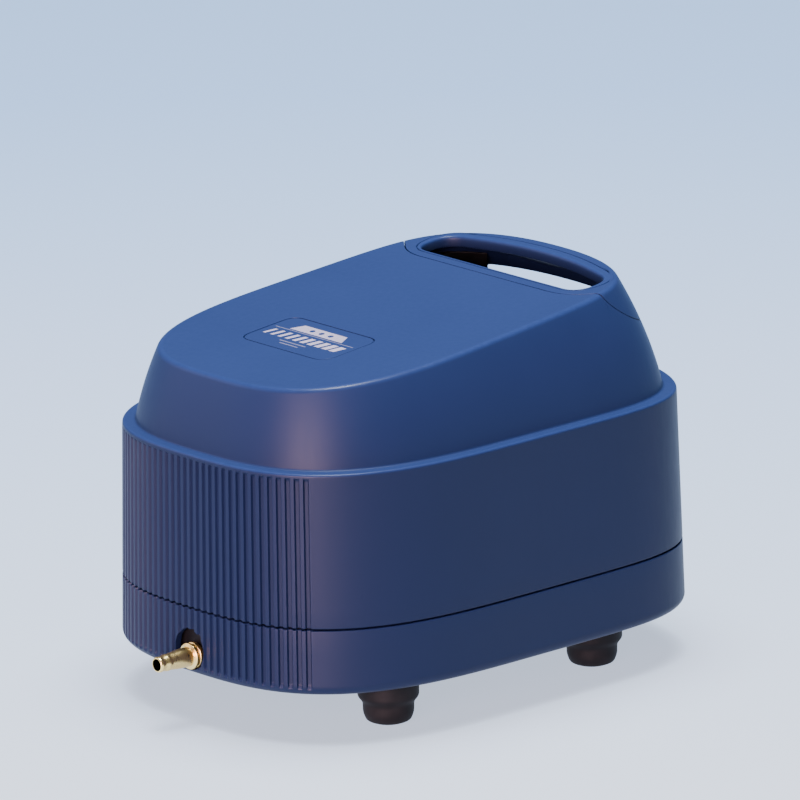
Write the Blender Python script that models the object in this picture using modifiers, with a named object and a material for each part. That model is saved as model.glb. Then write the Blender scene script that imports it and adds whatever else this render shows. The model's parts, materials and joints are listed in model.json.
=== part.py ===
"""Aquarium air pump: a linear diaphragm pump in a ribbed casing.

The casing is centred on x = 0 with its long side along Y.  The hose nozzle
looks towards -Y and the grip is at +Y.  The rubber soles stand on z = 0.
All driving sizes are in millimetres and are turned into metres in one place.
"""
import math

import bmesh
import bpy
import numpy as np
from mathutils import Matrix, Vector

MM = 0.001
GAP = 0.3                       # clearance between touching pieces

# Casing plan and heights
HALF_WIDTH = 90.0               # at the seam
HALF_LENGTH = 122.2
FRONT_POWERS = (2.89, 3.25)     # superellipse powers in x and y, front half
BACK_POWERS = (2.23, 5.6)
TRAY_BOTTOM = 22.0
TRAY_FILLET = 4.5
SEAM = 52.0
SEAM_GAP = 0.8
LEDGE = 121.2
RIM_FILLET = 1.2
LEDGE_WIDTH = 5.1
DRAFT = 0.0217                  # inward lean of the side walls, mm per mm
DOME_LEAN = 0.192               # dome wall: inset grows with height h as
DOME_CURVE = 0.003              # DOME_LEAN * h + DOME_CURVE * h squared
TOP_HEIGHT = 163.5              # of the sloping top at y = 0
TOP_SLOPE = 0.0923
TOP_FILLET = 2.6
WALL = 3.0
RING_POINTS = 56

# Ribs on the front
RIB_PITCH = 4.19
RIB_GROOVES = 32
GROOVE_WIDTH = 2.2
GROOVE_DEPTH = 1.1
GROOVE_TOP = 119.2

# Handle cap, grip slot and well
CAP_FRONT_Y = 52.2
CAP_CORNER = (51.5, 66.5, 62.1)  # where the front edge turns, and where it meets the side
CAP_CURVE_CENTRE = (125.0, 171.0)
CAP_CURVE_RADII = (62.7, 27.0)
CAP_CURVE_POWER = 1.6           # of the superellipse that splits cap and housing
SLOT_HALF = 53.3
SLOT_FRONT_Y = 59.3
SLOT_SIDE_Y = 79.0
SLOT_APEX_Y = 92.2
WELL_FLOOR = 140.0
WELL_WALL = 2.0
WELL_HALF = 55.8
WELL_FRONT_Y = 56.8
WELL_TOP = 162.4
WINDOW_HALF = 50.0
GRIP_UNDER = ((56.0, 163.8), (88.0, 166.7), (112.0, 156.4), (140.0, 156.4))

# Feet
FOOT_X = 59.0
FOOT_Y = 60.0
FOOT_RADIUS = 11.2
FOOT_COLLAR_RADIUS = 13.5

# Outlet
PORT_Z = 33.3
PORT_RADIUS = 9.3
NOZZLE_Z = 30.2
NOZZLE_TIP = 141.3              # distance of the tip in front of the casing centre
GLAND_TAIL = 125.0              # distance of the gland's end behind it
GLAND_Z = 38.0

# Air tank
TANK_X = 49.0
TANK_FRONT = -104.0
TANK_BACK = 86.0
TANK_BOTTOM = 25.3
TANK_RIM = 42.0
LID_BOTTOM = 43.9
LID_TOP = 46.9

# Motor
MOTOR_Z = 87.0
PLATE_BOTTOM = 68.2
PLATE_TOP = 71.2
CORE_HALF_HEIGHT = 15.5
UPRIGHT_IN = 40.0
UPRIGHT_OUT = 42.6
HEAD_IN = 42.9
HEAD_OUT = 68.0
HEAD_HALF = 33.0
CHAMBER_RADIUS = 29.2
WEB_IN = 56.0
WEB_OUT = 60.0
PORT_OFFSET = 19.0
OUTLET_Y = 64.0                 # where each head's outlet drops to the tank

# Rubber flaps
FLAP_HALF = 7.0
FLAP_THICKNESS = 1.2

FLAP_DROP = 13.0                # of a flap below its held edge

# Filter box under the well
FILTER_LOW = 121.6
FILTER_HIGH = 136.4
FILTER_HALF = 46.0
FILTER_Y = (55.0, 97.0)
FILTER_WALL = 2.0

# Screw posts, label and names of repeated pieces
POSTS = ((-64.0, -86.0), (64.0, -86.0), (-67.0, 92.0), (67.0, 92.0))
LABEL_Y = -50.0
LABEL_HALF = (28.4, 16.5)
WELL_INSET = 18.6               # of the well's upright back wall from the casing's plan
CORNER_NAMES = ("front_left", "front_right", "rear_left", "rear_right")
SIDES = ((-1, "front"), (1, "rear"))

# The bounding box is centred on the row's origin
CASING_Y = (NOZZLE_TIP - GLAND_TAIL) / 2.0

MATERIALS = {
    "casing_blue": ((0.050, 0.085, 0.240), 0.42, 0.0),
    "black_plastic": ((0.012, 0.012, 0.014), 0.5, 0.0),
    "rubber": ((0.010, 0.009, 0.010), 0.75, 0.0),
    "brass": ((0.800, 0.600, 0.240), 0.22, 1.0),
    "steel": ((0.550, 0.560, 0.580), 0.35, 1.0),
    "aluminium": ((0.640, 0.650, 0.670), 0.4, 1.0),
    "lamination": ((0.160, 0.165, 0.175), 0.5, 0.8),
    "copper": ((0.720, 0.250, 0.100), 0.35, 1.0),
    "magnet": ((0.055, 0.056, 0.060), 0.55, 0.4),
    "nylon": ((0.780, 0.760, 0.700), 0.5, 0.0),
    "foam": ((0.080, 0.085, 0.090), 0.95, 0.0),
}

PARTS = None
CUTTERS = None
ORIGIN = None


# ---------------------------------------------------------------- scene setup

def reset_scene():
    """Empty the scene and make the two collections and the placing empty."""
    global PARTS, CUTTERS, ORIGIN
    for obj in list(bpy.data.objects):
        bpy.data.objects.remove(obj)
    PARTS = bpy.data.collections.new("aquarium_air_pump")
    CUTTERS = bpy.data.collections.new("cutters")
    bpy.context.scene.collection.children.link(PARTS)
    bpy.context.scene.collection.children.link(CUTTERS)
    ORIGIN = bpy.data.objects.new("casing_centre", None)
    ORIGIN.location = (0.0, CASING_Y * MM, 0.0)
    PARTS.objects.link(ORIGIN)


def material(slot):
    """Return the named Principled material, made on first use."""
    found = bpy.data.materials.get(slot)
    if found:
        return found
    colour, roughness, metallic = MATERIALS[slot]
    made = bpy.data.materials.new(slot)
    made.use_nodes = True
    shader = made.node_tree.nodes["Principled BSDF"]
    shader.inputs["Base Color"].default_value = (*colour, 1.0)
    shader.inputs["Roughness"].default_value = roughness
    shader.inputs["Metallic"].default_value = metallic
    return made


def place(name, mesh, slot=None, at=(0.0, 0.0, 0.0), turn=(0.0, 0.0, 0.0)):
    """Make an object of a mesh; without a slot it is a hidden cutter."""
    obj = bpy.data.objects.new(name, mesh)
    obj.location = Vector(at) * MM
    obj.rotation_euler = [math.radians(angle) for angle in turn]
    obj.parent = ORIGIN
    if slot:
        mesh.materials.append(material(slot))
        PARTS.objects.link(obj)
    else:
        obj.hide_render = True
        obj.display_type = "WIRE"
        CUTTERS.objects.link(obj)
    return obj


def boolean(target, tool, operation="DIFFERENCE"):
    """Cut, join or intersect the target with the tool."""
    change = target.modifiers.new(tool.name, "BOOLEAN")
    change.operation = operation
    change.solver = "EXACT"
    change.object = tool
    return target


def soften(mesh, degrees=35.0):
    """Shade a mesh smooth, with its corners kept sharp."""
    mesh.shade_smooth()
    mesh.set_sharp_from_angle(angle=math.radians(degrees))
    return mesh


# ------------------------------------------------------------- basic shapes

def finished(bm, name):
    """Turn a bmesh in millimetres into a mesh in metres."""
    bmesh.ops.scale(bm, vec=(MM, MM, MM), verts=bm.verts)
    bmesh.ops.recalc_face_normals(bm, faces=bm.faces)
    mesh = bpy.data.meshes.new(name)
    bm.to_mesh(mesh)
    bm.free()
    return mesh


def box_mesh(name, low, high):
    """Return a box between two corners."""
    size = [b - a for a, b in zip(low, high)]
    middle = [(a + b) / 2.0 for a, b in zip(low, high)]
    bm = bmesh.new()
    frame = Matrix.Translation(middle) @ Matrix.Diagonal((*size, 1.0))
    bmesh.ops.create_cube(bm, size=1.0, matrix=frame)
    return finished(bm, name)


def box(name, low, high, slot=None):
    """Place a box between two corners."""
    return place(name, box_mesh(name, low, high), slot)


def rod_mesh(name, radius, start, end, sides=20):
    """Return a cylinder between two points."""
    start, end = Vector(start), Vector(end)
    along = end - start
    turn = Vector((0.0, 0.0, 1.0)).rotation_difference(along.normalized()).to_matrix().to_4x4()
    bm = bmesh.new()
    bmesh.ops.create_cone(bm, cap_ends=True, segments=sides, radius1=radius, radius2=radius,
                          depth=along.length, matrix=Matrix.Translation((start + end) / 2.0) @ turn)
    return soften(finished(bm, name))


def rod(name, radius, start, end, slot=None, sides=20):
    """Place a cylinder between two points."""
    return place(name, rod_mesh(name, radius, start, end, sides), slot)


def fillet_outline(corners, radii, steps=5):
    """Return a closed outline whose corners are rounded by arcs."""
    points = []
    count = len(corners)
    for index in range(count):
        before, here, after = (Vector(corners[(index + k) % count]) for k in (-1, 0, 1))
        radius = radii[index]
        into, out = (here - before).normalized(), (after - here).normalized()
        turn = into.angle_signed(out)
        if radius <= 0.0 or abs(turn) < 1e-4:
            points.append(tuple(here))
            continue
        reach = radius * math.tan(abs(turn) / 2.0)
        side = Vector((into.y, -into.x)) * math.copysign(1.0, turn)
        centre = here - into * reach + side * radius
        first = here - into * reach - centre
        for step in range(steps + 1):
            angle = -turn * step / steps
            cos, sin = math.cos(angle), math.sin(angle)
            points.append((centre.x + first.x * cos - first.y * sin,
                           centre.y + first.x * sin + first.y * cos))
    return points


def rectangle(low_x, low_y, high_x, high_y, radius=0.0, steps=4):
    """Return a rectangle's outline with rounded corners."""
    corners = [(low_x, low_y), (high_x, low_y), (high_x, high_y), (low_x, high_y)]
    return fillet_outline(corners, [radius] * 4, steps)


def plate_mesh(name, outline, low, high, holes=()):
    """Return a flat outline, with any holes, given thickness from low to high."""
    curve = bpy.data.curves.new(name, "CURVE")
    curve.dimensions = "2D"
    curve.fill_mode = "BOTH"
    curve.extrude = (high - low) / 2.0 * MM
    for loop in (outline, *holes):
        spline = curve.splines.new("POLY")
        spline.points.add(len(loop) - 1)
        spline.use_cyclic_u = True
        for point, (x, y) in zip(spline.points, loop):
            point.co = (x * MM, y * MM, 0.0, 1.0)
    holder = bpy.data.objects.new(name, curve)
    holder.location.z = (low + high) / 2.0 * MM
    bpy.context.scene.collection.objects.link(holder)
    graph = bpy.context.evaluated_depsgraph_get()
    mesh = bpy.data.meshes.new_from_object(holder.evaluated_get(graph))
    mesh.transform(Matrix.Translation((0.0, 0.0, (low + high) / 2.0 * MM)))
    bpy.data.objects.remove(holder)
    bm = bmesh.new()
    bm.from_mesh(mesh)
    bmesh.ops.remove_doubles(bm, verts=bm.verts, dist=1e-6)
    bmesh.ops.recalc_face_normals(bm, faces=bm.faces)
    bm.to_mesh(mesh)
    bm.free()
    return mesh


def plate(name, outline, low, high, slot=None, holes=()):
    """Place a flat plate of the given outline."""
    return place(name, plate_mesh(name, outline, low, high, holes), slot)


def side_plate(name, outline_yz, low_x, high_x, slot=None, holes=()):
    """Place a plate whose outline is drawn in the Y-Z plane, from low_x to high_x."""
    mesh = plate_mesh(name, outline_yz, low_x, high_x, holes)
    mesh.transform(Matrix(((0, 0, 1, 0), (1, 0, 0, 0), (0, 1, 0, 0), (0, 0, 0, 1))))
    return place(name, mesh, slot)


def side_prism(name, outline_yz, half_width):
    """Place a cutter whose outline is drawn in the Y-Z plane, across the casing."""
    return side_plate(name, outline_yz, -half_width, half_width)


def circle(x, y, radius, sides=20):
    """Return a circle's outline."""
    angles = (2.0 * math.pi * k / sides for k in range(sides))
    return [(x + radius * math.cos(a), y + radius * math.sin(a)) for a in angles]


def turned(name, profile, slot, at=(0.0, 0.0, 0.0), turn=(0.0, 0.0, 0.0), steps=20, ring=False):
    """Place a turned piece: a profile of (radius, height) points, outer side from the top down."""
    bm = bmesh.new()
    points = [bm.verts.new((r * MM, 0.0, z * MM)) for r, z in profile]
    for first, second in zip(points, points[1:]):
        bm.edges.new((first, second))
    if ring:
        bm.edges.new((points[-1], points[0]))
    mesh = bpy.data.meshes.new(name)
    bm.to_mesh(mesh)
    bm.free()
    obj = place(name, mesh, slot, at, turn)
    spin = obj.modifiers.new("turn", "SCREW")
    spin.steps = steps
    spin.render_steps = steps
    spin.use_merge_vertices = True
    spin.merge_threshold = 0.00001
    spin.use_smooth_shade = True
    return obj


# ------------------------------------------------------------ casing surface

def plan(inset):
    """Return the casing's outline, moved inwards: a superellipse of two unlike halves."""
    angle = np.linspace(0.0, 2.0 * math.pi, RING_POINTS, endpoint=False) + math.pi / RING_POINTS
    cos, sin = np.cos(angle), np.sin(angle)
    front = sin < 0.0
    power_x = np.where(front, FRONT_POWERS[0], BACK_POWERS[0])
    power_y = np.where(front, FRONT_POWERS[1], BACK_POWERS[1])
    x = (HALF_WIDTH - inset) * np.sign(cos) * np.abs(cos) ** (2.0 / power_x)
    y = (HALF_LENGTH - inset) * np.sign(sin) * np.abs(sin) ** (2.0 / power_y)
    return x, y


def ring(inset, height):
    """Return one ring of casing points at a height, which may vary along Y."""
    x, y = plan(inset)
    z = np.zeros_like(x) + (height(y) if callable(height) else height)
    return np.stack([x, y, z], axis=1)


def loft(name, rings, slot=None):
    """Skin a stack of rings and close both ends."""
    bm = bmesh.new()
    rows = [[bm.verts.new(point) for point in points] for points in rings]
    for lower, upper in zip(rows, rows[1:]):
        for k in range(RING_POINTS):
            n = (k + 1) % RING_POINTS
            bm.faces.new((lower[k], lower[n], upper[n], upper[k]))
    bm.faces.new(rows[0][::-1])
    bm.faces.new(rows[-1])
    return place(name, soften(finished(bm, name), 30.0), slot)


def side_inset(z):
    """Return how far the leaning side wall has moved in at a height."""
    return DRAFT * (z - SEAM)


def top_plane(y):
    """Return the height of the sloping top."""
    return TOP_HEIGHT + TOP_SLOPE * y


def dome_ring(share, wall, drop):
    """Return a ring at a share of the way up the dome's wall to a lowered top plane."""
    base = side_inset(LEDGE) + LEDGE_WIDTH + wall
    height = np.full(RING_POINTS, 45.0)
    for _ in range(12):
        rise = share * height
        inset = base + DOME_LEAN * height + DOME_CURVE * height ** 2
        _, y = plan(inset)
        height = top_plane(y) - drop - LEDGE
    rise = share * height
    x, y = plan(base + DOME_LEAN * rise + DOME_CURVE * rise ** 2)
    return np.stack([x, y, LEDGE + rise], axis=1)


def casing_form(name, bottom, wall=0.0, rounded=True):
    """Place the casing's solid outer form, or its core when a wall is given."""
    rim = RIM_FILLET if rounded else 0.0
    lean = side_inset(LEDGE) + wall
    rings = [ring(side_inset(bottom) + wall, bottom)]
    rings.append(ring(lean, LEDGE - wall - rim))
    if rounded:
        rings.append(ring(lean + 0.3 * rim, LEDGE - 0.3 * rim))
        rings.append(ring(lean + rim, LEDGE))
    rings.append(ring(lean + LEDGE_WIDTH, LEDGE - wall))
    fillet = TOP_FILLET if rounded else 0.0
    for share in (0.35, 0.7, 1.0):
        rings.append(dome_ring(share, wall, wall + fillet))
    if rounded:
        last = rings[-1]
        x_in, y_in = last[:, 0], last[:, 1]
        for turn in (math.pi / 4.0, math.pi / 2.0):
            inward = fillet * (1.0 - math.cos(turn)) * 0.75
            x = x_in * (1.0 - inward / HALF_WIDTH * 1.3)
            y = y_in * (1.0 - inward / HALF_LENGTH * 1.25)
            z = top_plane(y) - fillet * (1.0 - math.sin(turn))
            rings.append(np.stack([x, y, z], axis=1))
    return loft(name, rings)


def tray_form(name, wall=0.0):
    """Place the tray's solid outer form, or its core when a wall is given."""
    top = SEAM - SEAM_GAP / 2.0
    if wall:
        return loft(name, [ring(wall + 1.5, TRAY_BOTTOM + wall), ring(wall, TRAY_BOTTOM + wall + 3.0),
                           ring(wall, top + 2.0)])
    rings = []
    side_foot = TRAY_BOTTOM + TRAY_FILLET
    for turn in (0.0, math.pi / 6.0, math.pi / 3.0, math.pi / 2.0):
        inward = TRAY_FILLET * (1.0 - math.sin(turn))
        rings.append(ring(side_inset(side_foot) + inward, side_foot - TRAY_FILLET * math.cos(turn)))
    rings.append(ring(side_inset(top), top))
    return loft(name, rings)


def front_outline():
    """Return points of the casing's front outline and the length run along it."""
    angle = np.linspace(-math.pi, 0.0, 4001)
    cos, sin = np.cos(angle), np.sin(angle)
    x = HALF_WIDTH * np.sign(cos) * np.abs(cos) ** (2.0 / FRONT_POWERS[0])
    y = HALF_LENGTH * np.sign(sin) * np.abs(sin) ** (2.0 / FRONT_POWERS[1])
    run = np.concatenate([[0.0], np.cumsum(np.hypot(np.diff(x), np.diff(y)))])
    return x, y, run


def groove_cutters(name, low, high):
    """Place the row of upright cutters that leave the ribs between them."""
    x, y, run = front_outline()
    middle = run[-1] / 2.0
    height = high - low
    bm = bmesh.new()
    for index in range(RIB_GROOVES):
        along = middle + (index - (RIB_GROOVES - 1) / 2.0) * RIB_PITCH
        px, py = np.interp(along, run, x), np.interp(along, run, y)
        ax, ay = np.interp(along + 0.5, run, x), np.interp(along + 0.5, run, y)
        facing = math.atan2(ay - py, ax - px)
        lean = side_inset((low + high) / 2.0)
        frame = (Matrix.Translation((px, py, (low + high) / 2.0)) @ Matrix.Rotation(facing, 4, "Z")
                 @ Matrix.Rotation(-math.atan(DRAFT), 4, "X")
                 @ Matrix.Translation((0.0, GROOVE_DEPTH + lean - 2.0, 0.0))
                 @ Matrix.Diagonal((GROOVE_WIDTH, 4.0, height, 1.0)))
        bmesh.ops.create_cube(bm, size=1.0, matrix=frame)
    return place(name, finished(bm, name))


# -------------------------------------------------------------- handle shapes

def slot_outline():
    """Return the grip slot's outline: straight in front, bowed behind."""
    half = SLOT_HALF
    corners = [(-half, SLOT_FRONT_Y), (half, SLOT_FRONT_Y), (half, SLOT_SIDE_Y),
               (0.0, SLOT_APEX_Y), (-half, SLOT_SIDE_Y)]
    radii = [8.0, 8.0, 13.5, 150.0, 13.5]
    return fillet_outline(corners, radii, 6)


def cap_region(name, grow):
    """Place the space that the handle cap fills, for splitting it from the housing."""
    centre_y, centre_z = CAP_CURVE_CENTRE
    radius_y, radius_z = (radius + grow for radius in CAP_CURVE_RADII)
    power = 2.0 / CAP_CURVE_POWER
    sweep = []
    for step in range(13):
        angle = math.pi / 2.0 * step / 12
        sweep.append((centre_y - radius_y * math.cos(angle) ** power,
                      centre_z - radius_z * math.sin(angle) ** power))
    high = 190.0
    wedge = side_prism(name, [(sweep[0][0], high), *sweep, (135.0, sweep[-1][1]), (135.0, high)], 95.0)
    front, (turn_x, side_x, side_y) = CAP_FRONT_Y - grow, CAP_CORNER
    half = [(turn_x, front), (side_x + grow, side_y - grow), (side_x + grow, 90.0)]
    corners = [(-x, y) for x, y in reversed(half)] + half
    tongue = fillet_outline(corners, [0.0, 0.0, 14.0, 14.0, 0.0, 0.0], 5)
    boolean(wedge, plate(name + "_tongue", tongue, 163.5 - grow, high + 1.0), "UNION")
    return wedge


def grip_profile(drop):
    """Return the profile of the thick grip, lowered by a margin."""
    under = [(y, z - drop) for y, z in GRIP_UNDER]
    return [*under, (140.0, 195.0), (GRIP_UNDER[0][0], 195.0)]


def window_profile():
    """Return the profile of the finger window: from the well's floor up to the grip."""
    under = list(reversed(GRIP_UNDER[1:]))
    return [(GRIP_UNDER[1][0], WELL_FLOOR - 0.2), (140.0, WELL_FLOOR - 0.2), *under]


# ------------------------------------------------------------------- casing

def make_tray():
    """Make the ribbed base tray with its bosses, outlet port and cable hole."""
    tray = tray_form("base_tray_form")
    tray.name = "base_tray"
    dress(tray, "casing_blue")
    boolean(tray, tray_form("tray_core", WALL))
    for x, y in corners_at(FOOT_X, FOOT_Y):
        boolean(tray, rod("foot_boss", 8.0, (x, y, 23.0), (x, y, 38.0)), "UNION")
        boolean(tray, rod("foot_hole", 2.3, (x, y, 20.0), (x, y, 40.0), sides=12))
    for x, y in POSTS:
        boolean(tray, rod("post", 5.5, (x, y, 23.0), (x, y, SEAM - SEAM_GAP / 2.0 - 0.2)), "UNION")
        boolean(tray, rod("post_hole", 2.3, (x, y, 20.0), (x, y, 55.0), sides=12))
        boolean(tray, rod("post_head", 4.2, (x, y, 20.0), (x, y, 30.0), sides=16))
    front = -HALF_LENGTH
    boolean(tray, rod("port", PORT_RADIUS, (0.0, front - 8.0, PORT_Z), (0.0, front + 6.0, PORT_Z), sides=32))
    boolean(tray, rod("cable_hole", 5.9, (0.0, HALF_LENGTH - 8.0, GLAND_Z),
                      (0.0, HALF_LENGTH + 8.0, GLAND_Z)))
    boolean(tray, groove_cutters("tray_grooves", TRAY_BOTTOM + TRAY_FILLET - 0.4, SEAM + 3.0))
    return tray


def make_housing():
    """Make the upper housing: ribbed band, ledge and the dome in front of the handle cap."""
    housing = casing_form("upper_housing_form", SEAM + SEAM_GAP / 2.0)
    housing.name = "upper_housing"
    dress(housing, "casing_blue")
    boolean(housing, casing_form("housing_core", SEAM - 3.0, WALL, rounded=False))
    boolean(housing, cap_region("cap_space", 0.5))
    shelf = rectangle(-WINDOW_HALF, 90.0, WINDOW_HALF, 120.0)
    sill = plate("sill", shelf, WELL_FLOOR - 4.0, WELL_FLOOR + 0.6)
    boolean(sill, casing_form("sill_trim", 60.0, 1.0, rounded=False), "INTERSECT")
    boolean(sill, plate("sill_front", plan_outline(WELL_INSET - 0.4), 130.0, 150.0))
    boolean(housing, sill, "UNION")
    boolean(housing, side_prism("housing_window", window_profile(), WINDOW_HALF))
    for x, y in POSTS:
        boolean(housing, rod("upper_post", 5.0, (x, y, SEAM + 0.6), (x, y, LEDGE - 0.6)), "UNION")
        boolean(housing, rod("upper_post_hole", 2.3, (x, y, SEAM - 3.0), (x, y, 76.0), sides=12))
    boolean(housing, groove_cutters("housing_grooves", SEAM - 3.0, GROOVE_TOP))
    boolean(housing, label_shape("label_recess", -1.0, 4.0, 0.0))
    return housing


def plan_outline(inset):
    """Return the casing's plan as an outline, moved inwards."""
    return list(zip(*(values.tolist() for values in plan(inset))))


def corners_at(x, y):
    """Return four places, mirrored about both centre planes."""
    return [(sx * x, sy * y) for sy in (-1.0, 1.0) for sx in (-1.0, 1.0)]


def dress(obj, slot):
    """Turn a hidden form into a part with a material."""
    CUTTERS.objects.unlink(obj)
    PARTS.objects.link(obj)
    obj.hide_render = False
    obj.display_type = "TEXTURED"
    obj.data.materials.append(material(slot))


def label_shape(name, low, high, shrink, slot=None):
    """Place a rounded plate in the plane of the sloping top."""
    half_x, half_y = LABEL_HALF
    outline = rectangle(shrink - half_x, shrink - half_y, half_x - shrink, half_y - shrink, 5.0)
    tilt = math.degrees(math.atan(TOP_SLOPE))
    return place(name, plate_mesh(name, outline, low, high), slot,
                 (0.0, LABEL_Y, top_plane(LABEL_Y)), (tilt, 0.0, 0.0))


def make_seal():
    """Make the rubber seal behind the seam of tray and housing."""
    bm = bmesh.new()
    outer, inner, low, high = WALL + 0.4, WALL + 2.0, SEAM - 4.0, SEAM + 4.0
    loops = [(outer, low), (outer, high), (inner, high), (inner, low)]
    rows = [[bm.verts.new(point) for point in ring(side_inset(z) + inset, z)] for inset, z in loops]
    count = len(rows[0])
    for here, there in zip(rows, rows[1:] + rows[:1]):
        for k in range(count):
            n = (k + 1) % count
            bm.faces.new((here[k], here[n], there[n], there[k]))
    return place("housing_seal", soften(finished(bm, "housing_seal")), "rubber")


def make_cap():
    """Make the handle cap: a skin with a collared slot, a thick grip and a finger window."""
    cap = casing_form("handle_cap_form", 100.0)
    cap.name = "handle_cap"
    dress(cap, "casing_blue")
    boolean(cap, casing_form("cap_core", 90.0, WALL, rounded=False))
    grip = casing_form("grip_fill", 110.0, 1.2, rounded=False)
    boolean(grip, side_prism("grip_band", grip_profile(1.0), 95.0), "INTERSECT")
    boolean(cap, grip, "UNION")
    boolean(cap, plate("slot", slot_outline(), 150.0, 185.0))
    boolean(cap, side_prism("cap_window", window_profile(), WINDOW_HALF))
    boolean(cap, cap_region("cap_keep", 0.0), "INTERSECT")
    return cap


def make_well():
    """Make the black well under the slot, which keeps fingers out of the pump."""
    wide = rectangle(-WELL_HALF, WELL_FRONT_Y, WELL_HALF, 130.0, 9.0)
    well = plate("handle_well", wide, WELL_FLOOR - WELL_WALL, WELL_TOP, "black_plastic")
    boolean(well, casing_form("well_outside", 60.0, WALL + 0.4, rounded=False), "INTERSECT")
    boolean(well, plate("well_lift", plan_outline(WELL_INSET), 120.0, 180.0), "INTERSECT")
    room = plate("well_room", rectangle(WELL_WALL - WELL_HALF, WELL_FRONT_Y + WELL_WALL,
                                        WELL_HALF - WELL_WALL, 128.0, 7.0), WELL_FLOOR, 170.0)
    boolean(room, casing_form("well_inside", 60.0, WALL + 0.4 + WELL_WALL, rounded=False), "INTERSECT")
    boolean(room, plate("well_room_lift", plan_outline(WELL_INSET + WELL_WALL), 120.0, 180.0), "INTERSECT")
    boolean(well, room)
    boolean(well, box("well_mouth", (-WINDOW_HALF, 85.0, WELL_FLOOR - 0.01), (WINDOW_HALF, 130.0, 175.0)))
    return well


def make_filter():
    """Make the intake filter under the well: a slotted box and its foam."""
    tray = plate("filter_box", filter_outline(0.0), FILTER_LOW, FILTER_HIGH, "black_plastic")
    floor = FILTER_LOW + FILTER_WALL
    boolean(tray, plate("filter_room", filter_outline(FILTER_WALL), floor, FILTER_HIGH + 4.0))
    for k in range(5):
        y = 64.0 + 6.0 * k
        boolean(tray, box("filter_slot", (-32.0, y - 1.5, FILTER_LOW - 1.0), (32.0, y + 1.5, floor + 1.0)))
    plate("filter_foam", filter_outline(FILTER_WALL + 0.4), floor + GAP, FILTER_HIGH - 0.2, "foam")


def filter_outline(shrink):
    """Return the filter box's plan outline, moved inwards."""
    front, back = FILTER_Y
    return rectangle(shrink - FILTER_HALF, front + shrink, FILTER_HALF - shrink, back - shrink, 9.0 - shrink)


def make_feet():
    """Make the four rubber feet and the screws up through them."""
    profile = [(FOOT_COLLAR_RADIUS, TRAY_BOTTOM - GAP), (FOOT_COLLAR_RADIUS, 12.0), (FOOT_RADIUS + 0.1, 9.2),
               (FOOT_RADIUS, 4.5), (FOOT_RADIUS - 1.3, 1.4), (6.7, 0.0), (3.6, 0.0), (3.6, 12.0), (2.3, 12.0),
               (2.3, TRAY_BOTTOM - GAP)]
    for (x, y), corner in zip(corners_at(FOOT_X, FOOT_Y), CORNER_NAMES):
        turned("rubber_foot_" + corner, profile, "rubber", (x, y, 0.0), steps=16, ring=True)
        screw("foot_screw_" + corner, (x, y, 11.7), 3.2, 24.0)
    for (x, y), corner in zip(POSTS, CORNER_NAMES):
        screw("housing_screw_" + corner, (x, y, 29.7), 3.8, 40.0)


def screw(name, at, head_radius, length):
    """Place an upright pan-head screw: the underside of its head is at the given place."""
    profile = [(0.0, length), (1.6, length), (1.9, length - 1.2), (1.9, 0.0), (head_radius, 0.0),
               (head_radius, -1.4), (head_radius - 1.0, -2.4), (0.0, -2.4)]
    return turned(name, profile, "steel", at, steps=8)


def make_gland():
    """Make the rubber cable inlet in the tray's back wall."""
    profile = [(7.2, GLAND_TAIL), (8.0, 124.4), (8.0, 122.9), (5.5, 122.9), (5.5, 118.7), (8.0, 118.7),
               (8.0, 117.3), (6.5, 116.5), (3.2, 116.5), (3.2, GLAND_TAIL)]
    turned("cable_gland", profile, "rubber", (0.0, 0.0, GLAND_Z), facing(1), steps=16, ring=True)


def facing(side):
    """Return the turn that points a turned piece's height along +Y (1) or -Y (-1)."""
    return (-90.0 * side, 0.0, 0.0)


# ---------------------------------------------------------------- air outlet

def make_nozzle():
    """Make the brass hose nozzle: shank, double collar and a tapering barrel with a bore."""
    tip = NOZZLE_TIP
    outside = [(3.2, tip), (3.55, tip - 1.0), (3.3, tip - 2.6), (3.9, tip - 5.2), (3.6, tip - 6.4),
               (4.3, tip - 12.5), (4.3, 123.6), (5.9, 123.2), (5.9, 122.0), (4.9, 121.7), (4.9, 121.2),
               (5.9, 120.9), (5.9, 119.5), (5.2, 118.9), (3.9, 118.9), (3.9, 108.0)]
    bore = [(2.2, 108.0), (2.2, tip - 6.0), (2.5, tip - 1.5), (2.5, tip)]
    turned("outlet_nozzle", [*outside, *bore], "brass", (0.0, 0.0, NOZZLE_Z), facing(-1), steps=20, ring=True)


def tank_outline(shrink=0.0):
    """Return the air tank's plan outline."""
    return rectangle(shrink - TANK_X, TANK_FRONT + shrink, TANK_X - shrink, TANK_BACK - shrink, 9.0 - shrink)


def make_tank():
    """Make the air tank: body with the nozzle socket, gasket and lid with two inlets."""
    body = plate("tank_body", tank_outline(), TANK_BOTTOM, TANK_RIM, "black_plastic")
    socket_low, socket_high = (-11.0, -117.4, TANK_BOTTOM + 0.05), (11.0, TANK_FRONT + 1.5, TANK_RIM - 0.05)
    boolean(body, box("socket", socket_low, socket_high), "UNION")
    boolean(body, plate("tank_room", tank_outline(3.0), TANK_BOTTOM + 2.7, TANK_RIM + 5.0))
    boolean(body, rod("socket_bore", 4.2, (0.0, -120.0, NOZZLE_Z), (0.0, TANK_FRONT + 6.0, NOZZLE_Z)))
    plate("tank_gasket", tank_outline(), TANK_RIM + GAP, LID_BOTTOM - GAP, "rubber", [tank_outline(3.0)])
    inlets = [circle(0.0, side * OUTLET_Y, 5.0) for side in (-1.0, 1.0)]
    plate("tank_lid", tank_outline(), LID_BOTTOM, LID_TOP, "black_plastic", inlets)


# --------------------------------------------------------------------- motor

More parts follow.
